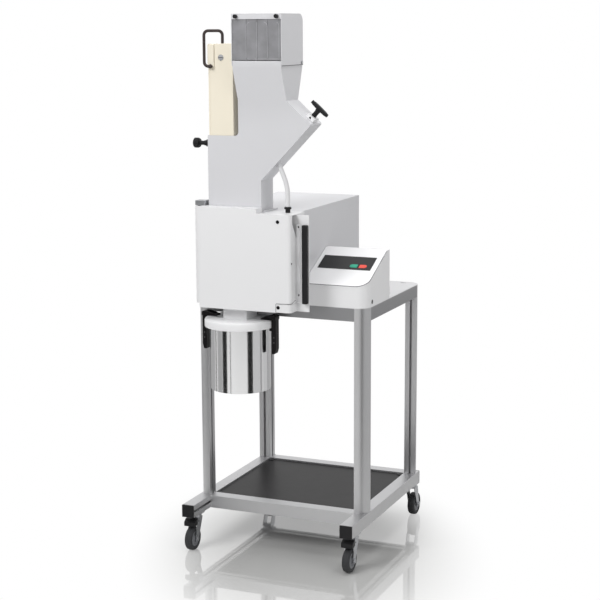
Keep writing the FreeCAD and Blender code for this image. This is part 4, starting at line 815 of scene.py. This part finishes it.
@dataclass
class MillFront:
    """Chamber, door, handle, hinge and motor cover."""

    roundings: Roundings = (("chamber_housing", 0.8), ("door_shell", 1.0),
                            ("door_handle_frame", 0.7), ("door_hinge", 0.5),
                            ("outlet_neck", 0.6), ("motor_cover", 1.2))
    right: float = 90.0
    screw_at: Pair = (48.5, 5.0)
    screw_heights: Pair = (1067.0, 809.0)
    screw_size: Triple = (5.5, 2.5, 2.2)
    side_row: float = 65.0
    side_heights: Pair = (1047.0, 840.0)
    side_size: Triple = (3.6, 1.6, 1.4)
    hole: Pair = (12.7, 943.0)
    hole_ring: Outline = ((1.6, 0.0), (3.0, 0.0), (3.0, 0.35), (1.6, 0.35))
    hole_shade_disc: Outline = ((0.0, 0.12), (1.7, 0.12), (1.7, 0.0), (0.0, 0.0))
    strip_seam: tuple[Triple, ...] = ((-214.4, 6.0, 796.0), (-214.4, 6.0, 1086.0))
    strip_radius: float = 0.5
    arm_seam: tuple[Triple, ...] = (
        (41.0, 4.9, 794.0), (41.0, 4.9, 818.0), (41.6, 4.9, 820.0), (43.6, 4.9, 820.6),
        (83.0, 4.9, 821.4), (87.5, 5.8, 821.6), (90.0, 10.0, 822.0), (90.1, 40.0, 829.0))
    arm_radius: float = 0.7
    grip_middle: Triple = (122.5, 38.5, 938.5)
    grip_half: Triple = (8.5, 8.2, 118.5)
    grip_power: float = 0.45
    grip_drawn: float = 3.0
    grip_end: float = 0.82
    grip_points: tuple[int, int] = (41, 40)

    def grip(self) -> Surface:
        """Grip: a superellipse carried up the handle, drawn in over its last millimetres.

        Returns:
            The surface.
        """
        rows, columns = self.grip_points
        wide, deep, tall = self.grip_half
        rise = np.sin(np.linspace(-math.pi / 2, math.pi / 2, rows))
        rise = np.concatenate([[-1.0], rise, [1.0]])
        pull = np.clip((1.0 - np.abs(rise)) * tall / self.grip_drawn, 0.0, 1.0)
        size = (self.grip_end + (1 - self.grip_end) * np.sqrt(1 - (1 - pull) ** 2))[:, None]
        size[0] = size[-1] = 0.0
        turn = full_turn(columns)[None, :]
        offsets = np.stack([size * signed_power(np.cos(turn), self.grip_power) * wide,
                            size * signed_power(np.sin(turn), self.grip_power) * deep,
                            (rise * tall)[:, None] * np.ones_like(turn)], axis=-1)
        return grid_surface(at(*self.grip_middle) + offsets * MILLIMETRE, False, True)

    def build(self, shop: Shop) -> None:
        """Round the sheet metal and add grip, screws, seams and the hole in the door's side, with a
        black disc in it that paints the shade inside the hole.

        Args:
            shop: makes the pieces.
        """
        shop.soften(self.roundings)
        shop.add("handle_grip_soft", [self.grip()], BLACK_PLASTIC, "door", ("handle_grip",))
        heads = button_heads(*self.screw_at, self.screw_heights, -AXIS_Y, self.screw_size)
        shop.add("door_screw_heads", heads, BLACK_METAL, "door", ("door_screws",))
        hole_at = at(self.right, *self.hole)
        # Black ring round the hole in the door's side; the flat black disc within it paints the
        # shade inside the hole.
        ring, hole_shade = eased(self.hole_ring, 0.1, 3, closed=True), eased(self.hole_shade_disc, 0.05, 3)
        shop.add("door_side_hole", [turned(hole_at, AXIS_X, ring, closed=True),
                                    turned(hole_at, AXIS_X, hole_shade)], BLACK_PLASTIC, "door")
        for name, path, radius in (("door_strip_seam", self.strip_seam, self.strip_radius),
                                   ("handle_arm_seam", self.arm_seam, self.arm_radius)):
            shop.add(name, [ribbon(np.array(path), radius)], SEAM_AND_SHADOW_LINE, "door")
        small = button_heads(self.right, self.side_row, self.side_heights, AXIS_X, self.side_size)
        shop.add("housing_side_screws", small, BLACK_METAL, "stand")


@dataclass
class Hopper:
    """Hopper, hood, curtain, pusher handle and the conduit's gland."""

    roundings: Roundings = (("pusher_guide", 1.0), ("conduit", 0.0), ("hood_pin", 0.4),
                            ("hopper_body", 1.0), ("hood", 0.7))
    pusher_foot: Triple = (120.4, 95.0, 1367.35)
    normal: Triple = (0.66744, 0.0, 0.74466)
    bar_rise: float = 41.0
    bar_halves: Triple = (33.0, 8.0, 6.2)
    bar_power: float = 3.6
    stem: Outline = ((0.0, 12.4), (8.6, 12.4), (7.2, 17.0), (7.4, 27.0), (9.6, 36.5), (0.0, 36.5))
    stem_easing: float = 2.0
    # Path and radius of the dark line that paints the shadow under the hood's lower edge on its
    # right cheek.
    shadow_under_lip: tuple[Triple, ...] = ((61.6, 15.5, 1524.5), (61.6, 172.5, 1524.5))
    shadow_under_lip_radius: float = 0.8
    screw_at: Pair = (124.4, 77.0)
    screw_heights: tuple[float] = (1371.85,)
    screw_size: Triple = (3.0, 1.4, 1.2)
    gland_foot: Triple = (54.0, 70.0, 1088.0)
    gland: Outline = ((7.1, 0.0), (7.6, 0.0), (7.6, 10.4), (11.0, 11.0), (11.0, 15.4),
                      (8.6, 18.0), (7.1, 18.0))
    gland_easing: float = 0.8
    gland_flutes: Flutes = (12, 0.9, 11.0, 15.6)
    curtain_left: float = -98.0
    curtain_right: float = 59.0
    curtain_row: float = 17.2
    curtain_low: float = 1548.0
    curtain_high: float = 1650.0
    curtain_round: float = 14.0
    slits: Outline = ((0.295, 0.8), (0.515, 0.0), (0.73, -0.8), (0.965, -0.5))
    slit_shift: float = -1.4
    slit_gap: float = 2.0
    bead_radius: float = 0.5

    def curtain_beads(self) -> list[Surface]:
        """Bright edges of the strips: up beside each slit, then a quarter turn to either side.

        Returns:
            A surface for each slit.
        """
        turn = np.linspace(0.0, math.pi / 2, 10)
        wide = self.curtain_right - self.curtain_left
        start = self.curtain_high - self.curtain_round
        up_z = np.concatenate([[self.curtain_low, start - self.slit_gap],
                               start + self.curtain_round * np.sin(turn)])
        beads = []
        for share, way in self.slits:
            x = self.curtain_left + wide * share + self.slit_shift
            across_x = np.concatenate([[x, x], x + way * self.curtain_round * (1 - np.cos(turn))])
            row = np.full_like(across_x, self.curtain_row)
            beads.append(ribbon(np.stack([across_x, row, up_z], axis=1), self.bead_radius))
        return beads

    def build(self, shop: Shop) -> None:
        """Round the folded sheet and add handle, a dark line that paints the shadow under the
        hood's lower edge, strip edges, screw and gland.

        Args:
            shop: makes the pieces.
        """
        shop.soften(self.roundings)
        foot = at(*self.pusher_foot)
        normal = np.array(self.normal)
        down = np.array([normal[2], 0.0, -normal[0]])
        bar = soft_block(foot + normal * self.bar_rise * MILLIMETRE, self.bar_halves,
                         self.bar_power, (down, AXIS_Y, normal))
        stem = turned(foot, normal, eased(self.stem, self.stem_easing))
        shop.add("pusher_grip", [bar, stem], BLACK_PLASTIC, "pusher")
        # Dark line along the hood's right cheek: painted shadow under its lower edge.
        shop.add("hood_lip_painted_shadow", [ribbon(np.array(self.shadow_under_lip), self.shadow_under_lip_radius)], SEAM_AND_SHADOW_LINE, "hood")
        shop.add("curtain_strip_edges", self.curtain_beads(), BEAD, "curtain")
        head = button_heads(*self.screw_at, self.screw_heights, -AXIS_Y, self.screw_size)
        shop.add("guide_screw", head, BLACK_METAL, "stand")
        nut = turned(at(*self.gland_foot), AXIS_Z,
                     eased(self.gland, self.gland_easing, 4, closed=True), closed=True,
                     segments=6 * self.gland_flutes[0], flutes=self.gland_flutes)
        shop.add("gland_nut", [nut], BLACK_PLASTIC, "stand", ("conduit_gland",))


@dataclass
class Plunger:
    """Plunger box with its screw, handle and index knob."""

    roundings: Roundings = (("plunger_body", 1.0), ("plunger_handle", 0.0))
    screw_at: Triple = (-155.0, 54.5, 1547.0)
    screw: Outline = ((0.0, 2.2), (7.2, 2.2), (9.0, 1.0), (9.0, 0.0), (0.0, 0.0))
    screw_easing: float = 0.7
    screw_slot_shade_rise: float = 2.05
    screw_slot_shade_halves: Triple = (7.6, 0.3, 0.8)
    screw_slot_shade_power: float = 10.0
    ball_at: Triple = (-186.0, 46.0, 1521.0)
    ball_radius: float = 6.4
    knob_foot: Triple = (-268.0, 95.0, 1288.0)
    knob_side: Outline = (
        (0.0, 0.0), (13.2, 0.0), (15.5, 2.2), (15.5, 14.0), (12.6, 19.0), (6.5, 19.0),
        (6.5, 34.7), (4.0, 34.7), (4.0, 73.2), (0.0, 73.2))
    knob_easing: float = 1.2
    knob_flutes: Flutes = (24, 0.7, 2.4, 13.6)

    def knob(self) -> Surface:
        """Index knob: a fluted disc, a neck and the nose, turned about the index axis."""
        return turned(at(*self.knob_foot), AXIS_X, eased(self.knob_side, self.knob_easing),
                      segments=4 * self.knob_flutes[0], flutes=self.knob_flutes)

    def build(self, shop: Shop) -> None:
        """Round the plunger, add its slotted screw with a dark bar that paints the shade in its
        slot, and the ball on the handle's end.

        Args:
            shop: makes the pieces.
        """
        shop.soften(self.roundings)
        foot = at(*self.screw_at)
        head = turned(foot, -AXIS_Y, eased(self.screw, self.screw_easing))
        shop.add("plunger_screw", [head], ZINC, "plunger")
        # Dark bar on the screw head's face: painted shade in its slot.
        screw_slot_shade = soft_block(foot - AXIS_Y * self.screw_slot_shade_rise * MILLIMETRE, self.screw_slot_shade_halves,
                            self.screw_slot_shade_power)
        shop.add("plunger_screw_slot_painted_shade", [screw_slot_shade], BLACK_METAL, "plunger")
        turn = np.linspace(-math.pi / 2, math.pi / 2, 21)
        circle = np.stack([np.cos(turn), np.sin(turn)], axis=1) * self.ball_radius
        ball = turned(at(*self.ball_at), AXIS_X, circle)
        shop.add("plunger_handle_ball", [ball], DARK_ROD, "plunger")
        shop.add("index_knob_fluted", [self.knob()], BLACK_PLASTIC, "index_knob", ("index_knob",))


@dataclass
class Controls:
    """Control box, its keys and the seam round its sloped cap."""

    roundings: Roundings = (("control_housing", 1.0), ("key_panel", 0.3), ("start_key", 0.4),
                            ("stop_key", 0.4))
    left: float = 81.0
    right: float = 287.0
    front: float = 122.0
    seam_height: float = 867.0
    seam_radius: float = 0.9
    corner: float = 40.0
    slope_rear: float = 305.0
    top: float = 954.0

    def seam(self) -> Surface:
        """Seam: along the front, round the corner and up the side, following the cap's edge.

        The side rises by the cap's slope, (top - seam height) over (slope rear - front).

        Returns:
            The surface.
        """
        turn = np.linspace(-math.pi / 2, 0.0, 14)
        rise = (self.top - self.seam_height) / (self.slope_rear - self.front)
        corner_x = self.right - self.corner + self.corner * np.cos(turn)
        corner_y = self.front + self.corner + self.corner * np.sin(turn)
        x = np.concatenate([[self.left, self.right - self.corner - 1.0], corner_x, [self.right]])
        y = np.concatenate([[self.front, self.front], corner_y, [self.slope_rear - 2.0]])
        z = self.seam_height + (y - self.front) * rise
        x = np.minimum(x, self.right - self.seam_radius)
        return ribbon(np.stack([x, y, z], axis=1), self.seam_radius)

    def build(self, shop: Shop) -> None:
        """Round the box and the keys and add the seam.

        Args:
            shop: makes the pieces.
        """
        shop.soften(self.roundings)
        shop.add("control_box_seam", [self.seam()], SEAM_AND_SHADOW_LINE, "stand")


@dataclass
class Receiver:
    """Lid, can and clamp levers."""

    roundings: Roundings = (
        ("receiver_lid", 0.9), ("receiver_can", 0.4), ("clamp_brackets", 0.8),
        ("clamp_lever_left", 1.2), ("clamp_lever_right", 1.2))
    axis_x: float = -113.0
    lever_reach: float = 118.0
    lever_front: float = 68.0
    rivet_heights: Pair = (702.0, 686.0)
    rivet_size: Triple = (2.6, 1.0, 0.9)

    def build(self, shop: Shop) -> None:
        """Round the lid, the can and the clamps and add the levers' rivets.

        Args:
            shop: makes the pieces.
        """
        shop.soften(self.roundings)
        for side, sign in SIDES:
            rivets = button_heads(self.axis_x + sign * self.lever_reach, self.lever_front,
                                  self.rivet_heights, -AXIS_Y, self.rivet_size)
            shop.add(f"lever_rivets_{side}", rivets, HUB_METAL, f"lever_{side}")


def level_ways(degrees: float) -> tuple[Array, Array]:
    """Level directions outward at an angle and square to it."""
    angle = math.radians(degrees)
    return (np.array([math.cos(angle), math.sin(angle), 0.0]),
            np.array([-math.sin(angle), math.cos(angle), 0.0]))


@dataclass
class Studio:
    """Floor, lamps, world and the camera at the photograph's angle; lengths are in metres."""

    camera_at: Triple = (1.856, -4.37875, 1.637)
    yaw: float = 0.40409
    pitch: float = 0.17915
    roll: float = -0.00481
    lens: float = 90.6
    sensor: float = 36.0
    floor_half: float = 40.0
    floor_painted_shade_colour: Triple = (0.64, 0.64, 0.63)
    floor_roughness: float = 0.03
    floor_index: float = 3.6
    fade_centre: Triple = (0.08, -0.16, 0.0)
    fade_reach: Triple = (0.66, 1.05, 1.0)
    fade_start: float = 0.38
    fade_end: float = 0.9
    fade_least: float = 0.03
    world_light: float = 0.34
    world_seen: float = 0.66
    world_glossy: float = 0.62
    lamp_aim: Triple = (0.0, 0.0, 0.85)
    lamps: tuple[tuple[str, Triple, float, float], ...] = (
        ("key_lamp", (-1.5, -3.3, 3.4), 1.6, 104.0), ("fill_lamp", (3.0, -1.4, 1.7), 1.8, 28.0),
        ("top_lamp", (0.2, 0.0, 3.6), 2.0, 50.0))
    card_colour: Triple = (0.004, 0.004, 0.004)
    card_centre: Triple = (-0.113, -0.244, 0.0)
    card_reach: float = 1.3
    card_low: float = 0.002
    card_high: float = 1.1
    upright_cards: tuple[Triple, ...] = (
        (-170.0, 0.05, 0.0), (-149.0, 0.26, 0.36), (-126.0, 0.22, 0.0), (-103.0, 0.03, 0.0),
        (-29.0, 0.24, 0.0), (4.0, 0.48, 0.52), (42.0, 0.34, 0.5))
    grey_cards: Outline = ((155.0, 0.34), (75.0, 0.36))
    grey_share: float = 0.47
    grey_span: Pair = (1.3, 5.0)

    def camera(self) -> None:
        """Camera that looks along the yaw and down by the pitch, turned by the roll."""
        lens = bpy.data.cameras.new("photo_camera")
        lens.lens = self.lens
        lens.sensor_width = self.sensor
        lens.sensor_fit = "HORIZONTAL"
        camera = bpy.data.objects.new("photo_camera", lens)
        turn = Matrix.Translation(self.camera_at)
        for angle, axis in ((self.yaw, "Z"), (math.pi / 2 - self.pitch, "X"), (self.roll, "Z")):
            turn = turn @ Matrix.Rotation(angle, 4, axis)
        camera.matrix_world = turn
        bpy.context.scene.collection.objects.link(camera)
        bpy.context.scene.camera = camera

    def floor(self) -> None:
        """Glossy floor, painted grey as shade round the mill beside its real shadows and
        reflections, that fades into the plain white background away from the mill.
        """
        made = bpy.data.materials.new("studio_floor")
        made.use_nodes = True
        tree = made.node_tree
        surface = tree.nodes["Principled BSDF"]
        # The grey base colour paints shade on the floor round the mill; away from it the floor
        # glows white.
        fill(tree, surface, {"Base Color": (*self.floor_painted_shade_colour, 1.0), "IOR": self.floor_index,
                             "Roughness": self.floor_roughness})
        oval = new_node(tree, "ShaderNodeMapping", {
            "Vector": object_place(tree), "Location": self.fade_centre,
            "Rotation": (0.0, 0.0, self.yaw), "Scale": self.fade_reach}, vector_type="TEXTURE")
        reach = new_node(tree, "ShaderNodeVectorMath", {0: oval.outputs[0]}, operation="LENGTH")
        ramp = new_node(tree, "ShaderNodeMapRange", {
            "Value": reach.outputs["Value"], "From Min": self.fade_start,
            "From Max": self.fade_end, "To Min": self.fade_least},
            interpolation_type="SMOOTHSTEP")
        paths = tree.nodes.new("ShaderNodeLightPath")
        share = math_node(tree, "MULTIPLY", ramp.outputs["Result"], paths.outputs["Is Camera Ray"])
        glow = tree.nodes.new("ShaderNodeEmission")
        mix = new_node(tree, "ShaderNodeMixShader", {
            "Fac": share, 1: surface.outputs[0], 2: glow.outputs[0]})
        fill(tree, tree.nodes["Material Output"], {"Surface": mix.outputs[0]})
        half = self.floor_half
        self.sheet("studio_floor", [(-half, -half, 0.0), (half, -half, 0.0), (half, half, 0.0),
                                    (-half, half, 0.0)], made, True)

    def world(self) -> None:
        """White to the camera and in reflections, softer as light on the object."""
        world = bpy.data.worlds.new("studio_world")
        bpy.context.scene.world = world
        world.use_nodes = True
        tree = world.node_tree
        paths = tree.nodes.new("ShaderNodeLightPath")
        seen = math_node(tree, "MAXIMUM", paths.outputs["Is Camera Ray"],
                         paths.outputs["Is Transmission Ray"])
        plain = math_node(tree, "MULTIPLY", seen, self.world_seen)
        glossy = math_node(tree, "MULTIPLY", paths.outputs["Is Glossy Ray"], self.world_glossy)
        level = math_node(tree, "ADD", math_node(tree, "ADD", plain, glossy), self.world_light)
        fill(tree, tree.nodes["Background"], {"Color": WHITE, "Strength": level})

    def lamp(self, name: str, place: Triple, size: float, power: float) -> None:
        """Square soft lamp that faces the middle of the mill.

        Args:
            name: its name.
            place: where it hangs, in metres.
            size: its side in metres.
            power: its power in watts.
        """
        light = bpy.data.lights.new(name, "AREA")
        light.size = size
        light.energy = power
        lamp = bpy.data.objects.new(name, light)
        lamp.visible_glossy = False
        back = np.array(place) - np.array(self.lamp_aim)
        back /= np.linalg.norm(back)
        columns = np.column_stack([*across(back), back, np.array(place)])
        lamp.matrix_world = Matrix(np.vstack([columns, [0.0, 0.0, 0.0, 1.0]]).tolist())
        bpy.context.scene.collection.objects.link(lamp)

    def cards(self) -> None:
        """Upright dark and grey cards and flat grey ones, as in a studio set for metal."""
        low, high = AXIS_Z * self.card_low, AXIS_Z * self.card_high
        for number, (degrees, half, level) in enumerate(self.upright_cards):
            out, side = level_ways(degrees)
            middle, side = self.card_centre + out * self.card_reach, side * half
            self.card(f"studio_upright_card_{number}", [
                middle - side + low, middle + side + low, middle + side + high,
                middle - side + high], level)
        near, far = self.grey_span
        centre = self.card_centre + low
        for number, (degrees, level) in enumerate(self.grey_cards):
            out, side = level_ways(degrees)
            side = side * self.grey_share
            self.card(f"studio_grey_card_{number}", [
                centre + (out - side) * near, centre + (out + side) * near,
                centre + (out + side) * far, centre + (out - side) * far], level)

    def card(self, name: str, corners: list[Array], level: float) -> None:
        """Flat card that only reflections see.

        Args:
            name: its name.
            corners: its four corners in metres, in order.
            level: how bright it is, where 1 is white.
        """
        made = bpy.data.materials.new(name)
        made.use_nodes = True
        tree = made.node_tree
        fill(tree, tree.nodes["Principled BSDF"], {
            "Base Color": (*self.card_colour, 1.0), "Roughness": 1.0, "Emission Color": WHITE,
            "Emission Strength": level})
        self.sheet(name, corners, made, False)

    @staticmethod
    def sheet(name: str, corners: list, material: bpy.types.Material, seen: bool) -> None:
        """Four-cornered sheet of the studio.

        Args:
            name: its name.
            corners: its four corners in metres, in order.
            material: its material.
            seen: whether the camera, plain light and shadows meet it; reflections always do.
        """
        mesh = bpy.data.meshes.new(name)
        mesh.from_pydata([tuple(corner) for corner in corners], [], [(0, 1, 2, 3)])
        mesh.materials.append(material)
        sheet = bpy.data.objects.new(name, mesh)
        sheet.visible_camera = sheet.visible_diffuse = sheet.visible_shadow = seen
        bpy.context.scene.collection.objects.link(sheet)

    def build(self) -> None:
        """Set the whole studio up."""
        scene = bpy.context.scene
        scene.view_settings.view_transform = "Standard"
        self.camera()
        self.floor()
        self.world()
        self.cards()
        for lamp in self.lamps:
            self.lamp(*lamp)


def main() -> None:
    """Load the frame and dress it."""
    logging.basicConfig(level=logging.INFO, format="%(name)s: %(message)s")
    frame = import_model()
    Studio().build()
    shop = Shop(frame)
    shop.dress_nodes()
    for part in (FrameDetails(), Castors(), MillFront(), Hopper(), Plunger(), Controls(),
                 Receiver()):
        part.build(shop)


if __name__ == "__main__":
    main()
